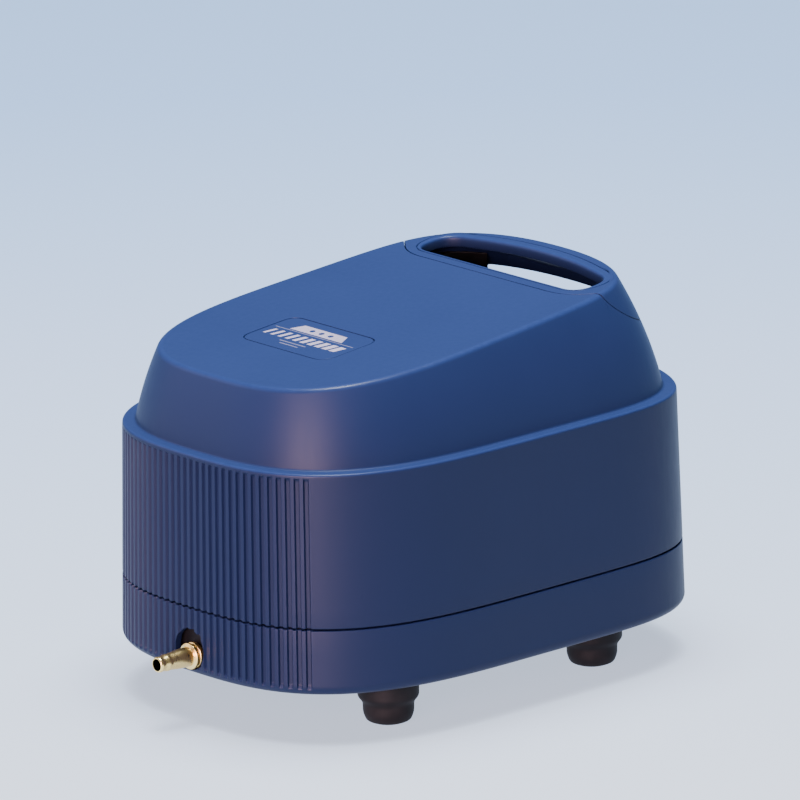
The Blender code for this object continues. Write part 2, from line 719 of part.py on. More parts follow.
def make_frame():
    """Make the motor frame on its four rubber dampers."""
    outline = rectangle(-58.0, -UPRIGHT_OUT, 58.0, UPRIGHT_OUT, 4.0)
    frame = plate("motor_frame", outline, PLATE_BOTTOM, PLATE_TOP, "aluminium")
    for side in (-1.0, 1.0):
        inner, outer = sorted((side * UPRIGHT_IN, side * (UPRIGHT_OUT - 0.05)))
        boolean(frame, box("upright", (-33.0, inner, PLATE_BOTTOM + 0.5), (33.0, outer, 119.0)), "UNION")
        near_x, far_x = sorted((side * 9.5, side * 46.0))
        low_z, high_z = PLATE_BOTTOM - 2.0, PLATE_TOP + 2.0
        boolean(frame, box("coil_window", (near_x, -21.5, low_z), (far_x, 21.5, high_z)))
        boolean(frame, rod("rod_hole", 12.0, (0.0, side * 38.0, MOTOR_Z), (0.0, side * 46.0, MOTOR_Z)))
    profile = [(7.0, 67.9), (7.0, 64.5), (4.8, 61.5), (4.8, 53.5), (7.0, 50.5), (7.0, LID_TOP + GAP)]
    for (x, y), corner in zip(corners_at(40.0, 33.0), CORNER_NAMES):
        turned("motor_damper_" + corner, [(0.0, 67.9), *profile, (0.0, LID_TOP + GAP)], "rubber", (x, y, 0.0),
               steps=10)


def make_magnet_circuit():
    """Make each side's laminated core, bobbin and coil."""
    for side, label in ((-1.0, "left"), (1.0, "right")):
        teeth = [(9.0, -31.0), (54.0, -31.0), (54.0, 31.0), (9.0, 31.0), (9.0, 20.5), (42.0, 20.5),
                 (42.0, 8.0), (9.0, 8.0), (9.0, -8.0), (42.0, -8.0), (42.0, -20.5), (9.0, -20.5)]
        plate("laminated_core_" + label, [(side * x, y) for x, y in teeth], MOTOR_Z - CORE_HALF_HEIGHT,
              MOTOR_Z + CORE_HALF_HEIGHT, "lamination")
        low, high = sorted((side * 10.5, side * 41.5))
        bobbin = side_plate("bobbin_" + label, around_axis(19.8, 27.0, 3.0), low, high, "nylon")
        boolean(bobbin, side_plate("pole_hole", around_axis(8.4, 15.9), low - 2.0, high + 2.0))
        boolean(bobbin, side_plate("winding_room", around_axis(25.0, 32.0), low + 2.0, high - 2.0,
                                   holes=[around_axis(9.6, 17.1)]))
        side_plate("coil_" + label, around_axis(19.2, 26.4, 7.0), low + 2.3, high - 2.3, "copper",
                   [around_axis(9.9, 17.4)])


def around_axis(half_y, half_z, radius=0.0):
    """Return a rectangle around the rod's axis, drawn in the Y-Z plane."""
    return rectangle(-half_y, MOTOR_Z - half_z, half_y, MOTOR_Z + half_z, radius)


def make_armature():
    """Make the moving rod with its magnets, diaphragms and clamps."""
    carrier = box("armature_rod", (-6.0, -32.0, MOTOR_Z - 13.8), (6.0, 32.0, MOTOR_Z + 13.8), "aluminium")
    diaphragm = [(28.4, 48.6), (28.4, 45.4), (26.0, 45.4), (24.9, 46.0), (23.3, 47.7), (20.2, 47.7),
                 (18.4, 46.0), (4.3, 46.0), (4.3, 48.6), (19.0, 48.6), (20.5, 50.2), (23.0, 50.2),
                 (24.5, 48.6)]
    clamp = [(10.0, 50.2), (10.0, 48.9), (4.3, 48.9), (4.3, 53.0), (6.0, 53.0), (6.0, 50.4)]
    for side, label in SIDES:
        end = (0.0, side * 53.0, MOTOR_Z)
        boolean(carrier, rod("rod_end", 4.0, (0.0, side * 30.0, MOTOR_Z), end, sides=16), "UNION")
        low, high = sorted((side * 4.0, side * 26.0))
        room_low, room_high = (-8.0, low - GAP, MOTOR_Z - 11.8), (8.0, high + GAP, MOTOR_Z + 11.8)
        boolean(carrier, box("magnet_window", room_low, room_high))
        box("magnet_" + label, (-7.0, low, MOTOR_Z - 11.5), (7.0, high, MOTOR_Z + 11.5), "magnet")
        turned("diaphragm_" + label, diaphragm, "rubber", (0.0, 0.0, MOTOR_Z), facing(side), steps=16,
               ring=True)
        turned("diaphragm_clamp_" + label, clamp, "steel", (0.0, 0.0, MOTOR_Z), facing(side), steps=16,
               ring=True)


def make_heads():
    """Make each end's pump head with its ports, cover, outlet sleeve and two flaps."""
    for side, label in SIDES:
        def span(near, far):
            return sorted((side * near, side * far))

        def block(name, half_x, near, far, low_z, high_z, slot=None):
            low_y, high_y = span(near, far)
            return box(name, (-half_x, low_y, low_z), (half_x, high_y, high_z), slot)

        low, high = MOTOR_Z - HEAD_HALF, MOTOR_Z + HEAD_HALF
        intake_z, exhaust_z = MOTOR_Z + PORT_OFFSET, MOTOR_Z - PORT_OFFSET
        head = block("pump_head_" + label, HEAD_HALF, HEAD_IN, HEAD_OUT, low, high, "aluminium")
        boolean(head, rod("chamber", CHAMBER_RADIUS, (0.0, side * 42.0, MOTOR_Z),
                          (0.0, side * WEB_IN, MOTOR_Z), sides=32))
        boolean(head, block("intake_room", 22.0, WEB_OUT, HEAD_OUT + 1.0, MOTOR_Z + 4.0, MOTOR_Z + 28.0))
        boolean(head, block("exhaust_room", 22.0, WEB_OUT, HEAD_OUT + 1.0, MOTOR_Z - 28.0, MOTOR_Z - 4.0))
        for port_z in (intake_z, exhaust_z):
            boolean(head, rod("valve_port", 4.5, (0.0, side * (WEB_IN - 1.0), port_z),
                              (0.0, side * (WEB_OUT + 1.0), port_z), sides=16))
        boolean(head, block("intake_mouth", 9.0, WEB_OUT + 1.5, HEAD_OUT - 1.5, MOTOR_Z + 26.0, high + 1.0))
        boolean(head, rod("outlet_drop", 5.0, (0.0, side * OUTLET_Y, low - 1.0),
                          (0.0, side * OUTLET_Y, MOTOR_Z - 27.0), sides=16))
        block("head_cover_" + label, HEAD_HALF, HEAD_OUT + GAP, HEAD_OUT + 2.8, low, high, "aluminium")
        turned("outlet_sleeve_" + label, [(8.5, low - GAP), (8.5, LID_TOP + GAP), (5.2, LID_TOP + GAP),
                                          (5.2, low - GAP)], "rubber", (0.0, side * OUTLET_Y, 0.0), steps=16,
               ring=True)
        flap("intake_flap_" + label, side * (WEB_IN - GAP), -side, intake_z + FLAP_HALF)
        flap("exhaust_flap_" + label, side * (WEB_OUT + GAP), side, exhaust_z + FLAP_HALF)


def flap(name, seat_y, outward, top_z):
    """Place a rubber flap that hangs from its held top edge, its origin on that edge."""
    low_y, high_y = sorted((0.0, outward * FLAP_THICKNESS))
    mesh = box_mesh(name, (-FLAP_HALF, low_y, -FLAP_DROP), (FLAP_HALF, high_y, 0.0))
    return place(name, mesh, "rubber", (0.0, seat_y, top_z))


def make_terminals():
    """Make the terminal block on the tank's lid."""
    block = box("terminal_block", (-15.0, 74.0, LID_TOP + GAP), (15.0, 84.0, 59.0), "nylon")
    for k in range(3):
        x = 10.0 * (k - 1)
        boolean(block, box("terminal_slot", (x - 3.0, 72.0, 55.0), (x + 3.0, 86.0, 62.0)))


def main():
    """Make the whole pump."""
    reset_scene()
    make_tray()
    make_housing()
    make_seal()
    label_shape("label_plate", -0.7, -0.1, GAP, "casing_blue")
    make_cap()
    make_well()
    make_filter()
    make_feet()
    make_gland()
    make_nozzle()
    make_tank()
    make_frame()
    make_magnet_circuit()
    make_armature()
    make_heads()
    make_terminals()


main()
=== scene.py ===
"""Looks of an aquarium air pump: fine casing surfaces, finishes, floor, light and camera.

The casing is worked out in millimetres from its own centre: +Z up, -Y towards the hose
nozzle.  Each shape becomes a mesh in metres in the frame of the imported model.
"""
import json
import logging
import math
from dataclasses import dataclass, field
from enum import Enum
from typing import Sequence, Union

import bpy
import numpy as np
from mathutils import Matrix, Vector


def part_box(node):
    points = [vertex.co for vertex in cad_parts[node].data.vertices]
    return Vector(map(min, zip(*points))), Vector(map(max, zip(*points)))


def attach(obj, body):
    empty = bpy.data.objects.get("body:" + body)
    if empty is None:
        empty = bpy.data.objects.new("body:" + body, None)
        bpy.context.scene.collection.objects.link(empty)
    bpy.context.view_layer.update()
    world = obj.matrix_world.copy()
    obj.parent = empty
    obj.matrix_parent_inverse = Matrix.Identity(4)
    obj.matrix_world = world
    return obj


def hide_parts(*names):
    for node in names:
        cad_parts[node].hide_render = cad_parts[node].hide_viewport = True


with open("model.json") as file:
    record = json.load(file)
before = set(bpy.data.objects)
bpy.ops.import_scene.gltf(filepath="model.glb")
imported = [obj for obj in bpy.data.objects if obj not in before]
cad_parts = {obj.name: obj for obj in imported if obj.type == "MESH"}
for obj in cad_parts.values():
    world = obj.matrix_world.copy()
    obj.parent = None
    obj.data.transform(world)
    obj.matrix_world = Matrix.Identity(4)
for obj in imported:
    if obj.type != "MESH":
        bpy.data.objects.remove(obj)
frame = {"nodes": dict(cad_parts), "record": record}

LOG = logging.getLogger("air_pump")
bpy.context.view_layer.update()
MM = 0.001  # one millimetre, in metres
LOW_SPECULAR = 0.14  # how strongly the matt mouldings mirror
Point = Sequence[float]


# ------------------------------------------------------------------ shader maths

class Value:
    """A number in a shader tree that takes part in Python arithmetic."""

    def __init__(self, graph: "Graph", socket: bpy.types.NodeSocket) -> None:
        """Wrap an output socket of a graph."""
        self.graph = graph
        self.socket = socket

    def math(self, operation: str, *others: "Number") -> "Value":
        """Return the result of a Math node with this value first."""
        return self.graph.maths(operation, self, *others)

    def __add__(self, other: "Number") -> "Value":
        """Return the sum."""
        return self.math("ADD", other)

    __radd__ = __add__

    def __sub__(self, other: "Number") -> "Value":
        """Return the difference."""
        return self.math("SUBTRACT", other)

    def __rsub__(self, other: "Number") -> "Value":
        """Return the other number less this one."""
        return self.graph.maths("SUBTRACT", other, self)

    def __mul__(self, other: "Number") -> "Value":
        """Return the product."""
        return self.math("MULTIPLY", other)

    __rmul__ = __mul__

    def __truediv__(self, other: "Number") -> "Value":
        """Return the quotient."""
        return self.math("DIVIDE", other)

    def size(self) -> "Value":
        """Return the number without its sign."""
        return self.math("ABSOLUTE")

    def below(self, limit: "Number", soft: float = 0.04) -> "Value":
        """Return 1 under a limit and 0 over it, with a soft edge of that width."""
        return ((self.graph.maths("SUBTRACT", limit, self)) / soft + 0.5).clipped()

    def clipped(self) -> "Value":
        """Return the number kept between 0 and 1."""
        return self.math("MINIMUM", 1.0).math("MAXIMUM", 0.0)


Number = Union[Value, float]
Colour = Union[bpy.types.NodeSocket, Sequence[float]]


class Graph:
    """One procedural material and its node tree."""

    def __init__(self, name: str) -> None:
        """Start a material with only its Principled shader and output."""
        self.material = bpy.data.materials.new(name)
        self.material.use_nodes = True
        self.tree = self.material.node_tree
        self.shader = self.tree.nodes["Principled BSDF"]

    def node(self, kind: str, settings: dict | None = None,
             inputs: dict | None = None) -> bpy.types.Node:
        """Add a node.

        Args:
            kind: The node's type.
            settings: Attributes to set first.
            inputs: Values or links, by socket name or number.

        Returns:
            The new node.
        """
        made = self.tree.nodes.new(kind)
        for key, value in (settings or {}).items():
            setattr(made, key, value)
        for key, value in (inputs or {}).items():
            self.put(made.inputs[key], value)
        return made

    def put(self, socket: bpy.types.NodeSocket, value: object) -> None:
        """Link a value or set a constant on a socket.

        Args:
            socket: The input to fill.
            value: A Value or a socket to link, or a number, vector or colour to set.
        """
        if isinstance(value, Value):
            self.tree.links.new(value.socket, socket)
        elif isinstance(value, bpy.types.NodeSocket):
            self.tree.links.new(value, socket)
        elif socket.type == "RGBA":
            socket.default_value = (*value, 1.0)
        else:
            socket.default_value = value

    def maths(self, operation: str, *values: Number) -> Value:
        """Return the output of a Math node of some numbers."""
        made = self.node("ShaderNodeMath", {"operation": operation}, dict(enumerate(values)))
        return Value(self, made.outputs[0])

    def place(self) -> bpy.types.NodeSocket:
        """Return the Object coordinates, in metres."""
        return self.node("ShaderNodeTexCoord").outputs["Object"]

    def split(self, vector: bpy.types.NodeSocket) -> list[Value]:
        """Return a vector's three numbers."""
        parts = self.node("ShaderNodeSeparateXYZ", None, {0: vector})
        return [Value(self, part) for part in parts.outputs]

    def stretched(self, scale: Point) -> bpy.types.NodeSocket:
        """Return the Object coordinates, scaled along each axis."""
        made = self.node("ShaderNodeMapping", None, {"Vector": self.place(), "Scale": scale})
        return made.outputs[0]

    def noise(self, scale: float, detail: float = 2.0,
              vector: bpy.types.NodeSocket | None = None) -> Value:
        """Return a noise from 0 to 1.

        Args:
            scale: How many features there are to a metre.
            detail: How many finer noises are added.
            vector: The coordinates, or None for the Object coordinates.

        Returns:
            The noise.
        """
        made = self.node("ShaderNodeTexNoise", None,
                         {"Vector": vector or self.place(), "Scale": scale, "Detail": detail})
        return Value(self, made.outputs["Fac"])

    def cells(self, scale: float) -> Value:
        """Return the distance to the nearest border of cells, with scale of them to a metre."""
        made = self.node("ShaderNodeTexVoronoi", {"feature": "DISTANCE_TO_EDGE"},
                         {"Vector": self.place(), "Scale": scale})
        return Value(self, made.outputs["Distance"])

    def attribute(self, name: str) -> Value:
        """Return a number stored on the mesh's points."""
        return Value(self, self.node("ShaderNodeAttribute", {"attribute_name": name}).outputs["Fac"])

    def mix(self, factor: Number, first: Colour, second: Colour) -> bpy.types.NodeSocket:
        """Return a blend of two colours."""
        made = self.node("ShaderNodeMix", {"data_type": "RGBA"}, {0: factor, 6: first, 7: second})
        return made.outputs[2]

    def bump(self, height: Value, depth: float, strength: float = 1.0) -> None:
        """Raise the shader's normal by a height from 0 to 1 over a depth in metres."""
        made = self.node("ShaderNodeBump", None,
                         {"Height": height, "Distance": depth, "Strength": strength})
        self.put(self.shader.inputs["Normal"], made.outputs[0])

    def set(self, **inputs: object) -> None:
        """Set or link the shader's sockets, named with _ for each space."""
        for key, value in inputs.items():
            self.put(self.shader.inputs[key.replace("_", " ")], value)


# ----------------------------------------------------------------------- finishes

def tint(colour: Point, factor: float) -> tuple[float, ...]:
    """Return a colour made lighter or darker, kept under 1."""
    return tuple(min(1.0, part * factor) for part in colour)


@dataclass(frozen=True)
class MouldedPlastic:
    """Injection-moulded plastic with a fine grained skin and a painted highlight, a paler colour, along
    its edges.
    """

    name: str
    colour: Point
    roughness: float = 0.42
    grain: float = 2600.0
    grain_depth: float = 0.00003
    painted_light: float = 1.5

    def build(self) -> Graph:
        """Build the finish: soft mottling, fine grain and a painted highlight, a paler colour, on the
        edges.

        Returns:
            The finish and its node tree.
        """
        graph = Graph(self.name)
        edge = graph.attribute("edge")
        mottle = graph.noise(28.0, 3.0)
        scuff_and_sheen = graph.noise(420.0, 4.0, graph.stretched((1.0, 1.0, 0.25)))
        base = graph.mix(mottle, tint(self.colour, 0.94), tint(self.colour, 1.06))
        # painted highlight: edges, fillets and rib crests get a paler colour, broken up by noise
        sheen_mask = (edge * scuff_and_sheen * 0.9).clipped()
        graph.set(Base_Color=graph.mix(sheen_mask, base, tint(self.colour, self.painted_light)),
                  Roughness=self.roughness + 0.10 * (scuff_and_sheen - 0.5) + 0.06 * (mottle - 0.5) - 0.14 * edge,
                  Specular_IOR_Level=LOW_SPECULAR)
        graph.bump(graph.noise(self.grain, 2.0), self.grain_depth, 0.5)
        return graph


@dataclass(frozen=True)
class MouldedRubber:
    """Matt rubber with a dusty bloom."""

    name: str = "moulded_rubber"
    colour: Point = (0.004, 0.0038, 0.0045)
    bloom: Point = (0.012, 0.0115, 0.013)

    def build(self) -> Graph:
        """Build the finish: a patchy grey bloom over black and a fine pebbled skin.

        Returns:
            The finish and its node tree.
        """
        graph = Graph(self.name)
        patches = graph.noise(160.0, 5.0)
        fine = graph.noise(2400.0, 2.0)
        graph.set(Base_Color=graph.mix((patches * patches * 1.1).clipped(), self.colour, self.bloom),
                  Roughness=0.45 + 0.25 * patches, Specular_IOR_Level=LOW_SPECULAR)
        graph.bump(fine * 0.6 + patches * 0.4, 0.00006, 0.6)
        return graph


@dataclass(frozen=True)
class TurnedMetal:
    """Metal turned on a lathe about an axis along Y, with fine tool rings."""

    name: str
    colour: Point
    dull: Point
    roughness: float = 0.2
    bore_shade: Point = (0.012, 0.009, 0.007)

    def build(self) -> Graph:
        """Build the finish: rings across the axis, dull patches, and painted shade, a near-black colour,
        in the bore.

        Returns:
            The finish and its node tree.
        """
        graph = Graph(self.name)
        rings = graph.noise(900.0, 3.0, graph.stretched((0.03, 3.0, 0.03)))
        patches = graph.noise(260.0, 4.0)
        # painted shade: where the edge attribute is 0, in the bore, the metal turns near-black
        unshaded = (graph.attribute("edge") * 5.0).clipped()
        metal = graph.mix((patches - 0.35).clipped(), self.colour, self.dull)
        graph.set(Base_Color=graph.mix(unshaded, self.bore_shade, metal), Metallic=1.0,
                  Roughness=self.roughness + 0.12 * (rings - 0.5) + 0.12 * (patches - 0.5))
        graph.bump(rings, 0.000006, 0.4)
        return graph


@dataclass(frozen=True)
class GrainedMetal:
    """Cast, plated or drawn metal with a directional or even grain."""

    name: str
    colour: Point
    roughness: float
    grain: float
    stretch: Point = (1.0, 1.0, 1.0)
    depth: float = 0.00005

    def build(self) -> Graph:
        """Build the finish: grain of one size, cloudy brightness and rough spots.

        Returns:
            The finish and its node tree.
        """
        graph = Graph(self.name)
        grain = graph.noise(self.grain, 4.0, graph.stretched(self.stretch))
        cloud = graph.noise(60.0, 3.0)
        shade = graph.mix(cloud, tint(self.colour, 0.82), tint(self.colour, 1.08))
        graph.set(Base_Color=shade, Metallic=1.0,
                  Roughness=self.roughness + 0.18 * (grain - 0.5) + 0.1 * (cloud - 0.5))
        graph.bump(grain, self.depth, 0.6)
        return graph


@dataclass(frozen=True)
class LayeredSheets:
    """A stack of varnished steel sheets, seen as fine lines on its sides."""

    name: str = "stacked_sheets"
    thickness: float = 0.0007
    colour: Point = (0.19, 0.19, 0.20)
    varnish: Point = (0.035, 0.03, 0.028)

    def build(self) -> Graph:
        """Build the finish: each sheet is a little lighter or darker, with a dark line between.

        Returns:
            The finish and its node tree.
        """
        graph = Graph(self.name)
        layer = graph.split(graph.place())[2] / self.thickness
        phase = layer.math("FRACT")
        line = (phase - 0.5).size().math("GREATER_THAN", 0.4)
        own = graph.node("ShaderNodeTexWhiteNoise", {"noise_dimensions": "1D"},
                         {"W": layer.math("FLOOR")})
        shade = graph.mix(Value(graph, own.outputs["Value"]), tint(self.colour, 0.7), self.colour)
        graph.set(Base_Color=graph.mix(line * 0.8, shade, self.varnish), Metallic=0.7,
                  Roughness=0.38 + 0.2 * line + 0.1 * (graph.noise(300.0) - 0.5))
        graph.bump(1.0 - line, 0.00008, 0.7)
        return graph


@dataclass(frozen=True)
class WoundWire:
    """Enamelled wire wound side by side about an axis along X."""

    name: str = "wound_wire"
    pitch: float = 0.0008
    colour: Point = (0.62, 0.22, 0.07)
    shadow: Point = (0.10, 0.025, 0.01)

    def build(self) -> Graph:
        """Build the finish: round wires by a bowed height across the pitch, dark between them.

        Returns:
            The finish and its node tree.
        """
        graph = Graph(self.name)
        wander = graph.noise(90.0, 2.0) * 0.35
        phase = (graph.split(graph.place())[0] / self.pitch + wander).math("FRACT") - 0.5
        bow = (1.0 - phase * phase * 4.0).clipped()
        graph.set(Base_Color=graph.mix(bow, self.shadow, self.colour), Metallic=0.85,
                  Roughness=0.42 - 0.14 * bow, Coat_Weight=0.6)
        graph.bump(bow, 0.0003, 0.8)
        return graph


@dataclass(frozen=True)
class PressedFerrite:
    """Ground ferrite with pale specks and small chips."""

    name: str = "pressed_ferrite"
    colour: Point = (0.055, 0.055, 0.06)

    def build(self) -> Graph:
        """Build the finish: fine specks and grinding lines.

        Returns:
            The finish and its node tree.
        """
        graph = Graph(self.name)
        speck = graph.noise(3200.0, 2.0)
        lines = graph.noise(500.0, 3.0, graph.stretched((1.0, 0.08, 1.0)))
        graph.set(Base_Color=graph.mix((speck * 3.0 - 1.7).clipped(), self.colour, (0.16, 0.16, 0.17)),
                  Metallic=0.2, Roughness=0.42 + 0.2 * lines)
        graph.bump(lines, 0.00003, 0.6)
        return graph


@dataclass(frozen=True)
class NaturalNylon:
    """Milky nylon with flow marks."""

    name: str = "natural_nylon"
    colour: Point = (0.74, 0.70, 0.60)

    def build(self) -> Graph:
        """Build the finish: faint clouds and a soft skin.

        Returns:
            The finish and its node tree.
        """
        graph = Graph(self.name)
        cloud = graph.noise(140.0, 4.0)
        graph.set(Base_Color=graph.mix(cloud, tint(self.colour, 0.88), tint(self.colour, 1.05)),
                  Roughness=0.4 + 0.15 * cloud, Subsurface_Weight=0.15, Subsurface_Scale=0.003)
        graph.bump(graph.noise(1800.0), 0.00003, 0.5)
        return graph


@dataclass(frozen=True)
class OpenFoam:
    """Open-cell filter foam."""

    name: str = "open_foam"
    colour: Point = (0.12, 0.125, 0.13)
    pore_shade: Point = (0.008, 0.008, 0.009)

    def build(self) -> Graph:
        """Build the finish: painted shade in the pores between pale struts of two sizes of cell.

        Returns:
            The finish and its node tree.
        """
        graph = Graph(self.name)
        struts = 1.0 - (graph.cells(750.0) * 4.0).clipped()
        small = 1.0 - (graph.cells(1500.0) * 5.0).clipped()
        height = struts * 0.7 + small * 0.3
        # painted shade: the pores between the struts get a near-black colour
        graph.set(Base_Color=graph.mix(height, self.pore_shade, self.colour), Roughness=0.9 - 0.1 * height)
        graph.bump(height, 0.0006, 0.9)
        return graph


@dataclass(frozen=True)
class PrintedPanel:
    """Casing plastic with a generic pattern printed on it in a pale ink.

    The pattern is drawn in the panel's own map, in millimetres: a sloped tab with three
    dots, a rule, a row of leaning bars that grow, and two short strokes.
    """

    name: str
    plastic: MouldedPlastic
    ink: Point = (0.13, 0.115, 0.15)
    tab_half: float = 15.2
    tab_slope: float = 0.5
    dot_pitch: float = 6.0
    dot_height: float = 7.4
    dot_radius: float = 1.35
    bar_pitch: float = 4.9
    bar_lean: float = 0.28
    row_start: float = 24.5
    row_length: float = 49.0

    def build(self) -> Graph:
        """Build the finish: the casing's plastic with ink where the pattern is.

        Returns:
            The finish and its node tree.
        """
        graph = self.plastic.build()
        graph.material.name = self.name
        chart = graph.node("ShaderNodeUVMap", {"uv_map": "panel_mm"}).outputs[0]
        across, up = graph.split(chart)[:2]
        tab = self.box(across + 0.5, up - 7.5, self.tab_half + (8.0 - up) * self.tab_slope, 3.2)
        rule = self.box(across, up - 3.1, 25.5, 0.16)
        upper_stroke = self.box(across + 1.5, up + 8.2, 8.5, 0.35)
        lower_stroke = self.box(across + 1.5, up + 10.6, 6.0, 0.35)
        ink = (tab * (1.0 - self.dots(across, up)) * 0.9 + rule * 0.6 + self.bars(across, up)
               + (upper_stroke + lower_stroke) * 0.4).clipped()
        mask = ink * (0.72 + 0.35 * graph.noise(900.0, 3.0)).clipped()
        plain = graph.shader.inputs["Base Color"].links[0].from_socket
        graph.set(Base_Color=graph.mix(mask, plain, self.ink))
        return graph

    @staticmethod
    def box(across: Value, up: Value, half_across: Number, half_up: Number) -> Value:
        """Return 1 inside a box about the origin of two numbers."""
        return across.size().below(half_across, 0.12) * up.size().below(half_up, 0.12)

    def dots(self, across: Value, up: Value) -> Value:
        """Return 1 inside three dots in a row on the tab.

        Args:
            across: The map's first number.
            up: The map's second number.

        Returns:
            The dots' mask.
        """
        phase = (across / self.dot_pitch + 0.5).math("FRACT") - 0.5
        rise = up - self.dot_height
        apart = (phase * phase * self.dot_pitch ** 2 + rise * rise).math("SQRT")
        return apart.below(self.dot_radius, 0.15) * across.size().below(1.5 * self.dot_pitch, 0.2)

    def bars(self, across: Value, up: Value) -> Value:
        """Return 1 inside a row of leaning bars whose width grows along the row.

        Args:
            across: The map's first number.
            up: The map's second number.

        Returns:
            The bars' mask.
        """
        along = across - up * self.bar_lean + self.row_start
        phase = (along / self.bar_pitch).math("FRACT") - 0.5
        width = 0.17 + along * 0.0042
        row = along.below(self.row_length, 0.1) * (0.0 - along).below(0.0, 0.1)
        return phase.size().below(width, 0.03) * (up + 2.4).size().below(3.1, 0.12) * row


class Finish(Enum):
    """The finishes of the pump, each named by its material slot in the record."""

    CASING = "casing_blue"
    BLACK = "black_plastic"
    RUBBER = "rubber"
    BRASS = "brass"
    STEEL = "steel"
    ALUMINIUM = "aluminium"
    SHEETS = "lamination"
    NYLON = "nylon"
    WIRE = "copper"
    FERRITE = "magnet"
    FOAM = "foam"


CASING_PLASTIC = MouldedPlastic("casing_plastic", (0.0050, 0.0098, 0.034), 0.46)

RECIPES = {
    Finish.CASING: CASING_PLASTIC,
    Finish.BLACK: MouldedPlastic("black_moulding", (0.0045, 0.0042, 0.005), 0.5, 1800.0, 0.00004, 1.6),
    Finish.RUBBER: MouldedRubber(),
    Finish.BRASS: TurnedMetal("turned_brass", (1.0, 0.76, 0.30), (0.88, 0.62, 0.22), 0.28),
    Finish.STEEL: GrainedMetal("plated_steel", (0.56, 0.57, 0.60), 0.32, 700.0, (1.0, 1.0, 0.2)),
    Finish.ALUMINIUM: GrainedMetal("cast_aluminium", (0.60, 0.61, 0.63), 0.44, 1300.0, depth=0.00012),
    Finish.SHEETS: LayeredSheets(),
    Finish.NYLON: NaturalNylon(),
    Finish.WIRE: WoundWire(),
    Finish.FERRITE: PressedFerrite(),
    Finish.FOAM: OpenFoam(),
}


class Paintbox:
    """Makes each finish once and puts it on pieces."""

    def __init__(self) -> None:
        """Build every finish."""
        self.made = {finish: recipe.build().material for finish, recipe in RECIPES.items()}
        self.panel = PrintedPanel("printed_panel", CASING_PLASTIC).build().material

    def coat(self, piece: bpy.types.Object, finish: Finish) -> None:
        """Put one finish on a piece."""
        self.cover(piece, self.made[finish])

    @staticmethod
    def cover(piece: bpy.types.Object, material: bpy.types.Material) -> None:
        """Put a material on all of a piece."""
        piece.data.materials.clear()
        piece.data.materials.append(material)


# ------------------------------------------------------------------- mesh helpers

def casing_centre() -> np.ndarray:
    """Return the casing's centre in the frame, in millimetres, from the base tray's box."""
    low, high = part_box("base_tray")
    return np.array([(low.x + high.x) / 2.0, (low.y + high.y) / 2.0, 0.0]) / MM


def grid_faces(rows: int, columns: int, wrap_rows: bool = False, wrap_columns: bool = True,
               start: int = 0) -> np.ndarray:
    """Return the quads of a grid of points that is stored row by row.

    Args:
        rows: How many rows there are.
        columns: How many points a row has.
        wrap_rows: Whether the last row joins the first.
        wrap_columns: Whether each row closes on itself.
        start: The number of the grid's first point.

    Returns:
        One row of four point numbers for each quad.
    """
    row, column = np.meshgrid(np.arange(rows if wrap_rows else rows - 1),
                              np.arange(columns if wrap_columns else columns - 1), indexing="ij")
    up, right = (row + 1) % rows, (column + 1) % columns
    low, high = row * columns, up * columns
    corners = (low + column, low + right, high + right, high + column)
    return np.stack(corners, axis=-1).reshape(-1, 4) + start


def weld(points: np.ndarray, faces: np.ndarray,
         cells_per_mm: float = 2000.0) -> tuple[np.ndarray, np.ndarray]:
    """Join points at the same place.

    Args:
        points: The points, in millimetres.
        faces: Quads of point numbers.
        cells_per_mm: Points in the same cell of this size count as one.

    Returns:
        The numbers of the points that are kept and the quads renumbered to them.
    """
    cells = np.round(points * cells_per_mm).astype(np.int64)
    _, first, inverse = np.unique(cells, axis=0, return_index=True, return_inverse=True)
    joined = inverse.reshape(-1)[faces]
    used, numbers = np.unique(joined, return_inverse=True)
    return first[used], numbers.reshape(joined.shape)


def outward(points: np.ndarray, faces: np.ndarray) -> np.ndarray:
    """Return the quads turned so that the closed shape has a positive volume."""
    a, b, c, d = (points[faces[:, k]] for k in range(4))
    volume = np.einsum("ij,ij->", a, np.cross(b, c)) + np.einsum("ij,ij->", a, np.cross(c, d))
    return faces if volume > 0.0 else faces[:, ::-1]


def make_piece(name: str, points: np.ndarray, faces: np.ndarray, edge: np.ndarray | None = None,
               sharp: float = 32.0) -> bpy.types.Object:
    """Make a closed piece of quads.

    Args:
        name: The piece's name.
        points: Its points in millimetres from the casing's centre.
        faces: Its quads; a quad that meets itself becomes a triangle.
        edge: How much painted light each point gets, from 0 to 1: a paler painted highlight on plastic,
            and painted shade on brass where it is 0.
        sharp: The angle in degrees over which an edge shows.

    Returns:
        The new object, at the origin.
    """
    kept, faces = weld(points, faces)
    points = points[kept]
    faces = outward(points, faces)
    polygons = [list(dict.fromkeys(face)) for face in faces.tolist()]
    mesh = bpy.data.meshes.new(name)
    mesh.from_pydata(((points + casing_centre()) * MM).tolist(), [],
                     [polygon for polygon in polygons if len(polygon) > 2])
    painted_light = np.zeros(len(points)) if edge is None else edge[kept]
    mesh.attributes.new("edge", "FLOAT", "POINT").data.foreach_set("value", painted_light.astype(np.float32))
    mesh.shade_smooth()
    mesh.set_sharp_from_angle(angle=math.radians(sharp))
    mesh.validate()
    piece = bpy.data.objects.new(name, mesh)
    bpy.context.scene.collection.objects.link(piece)
    return piece


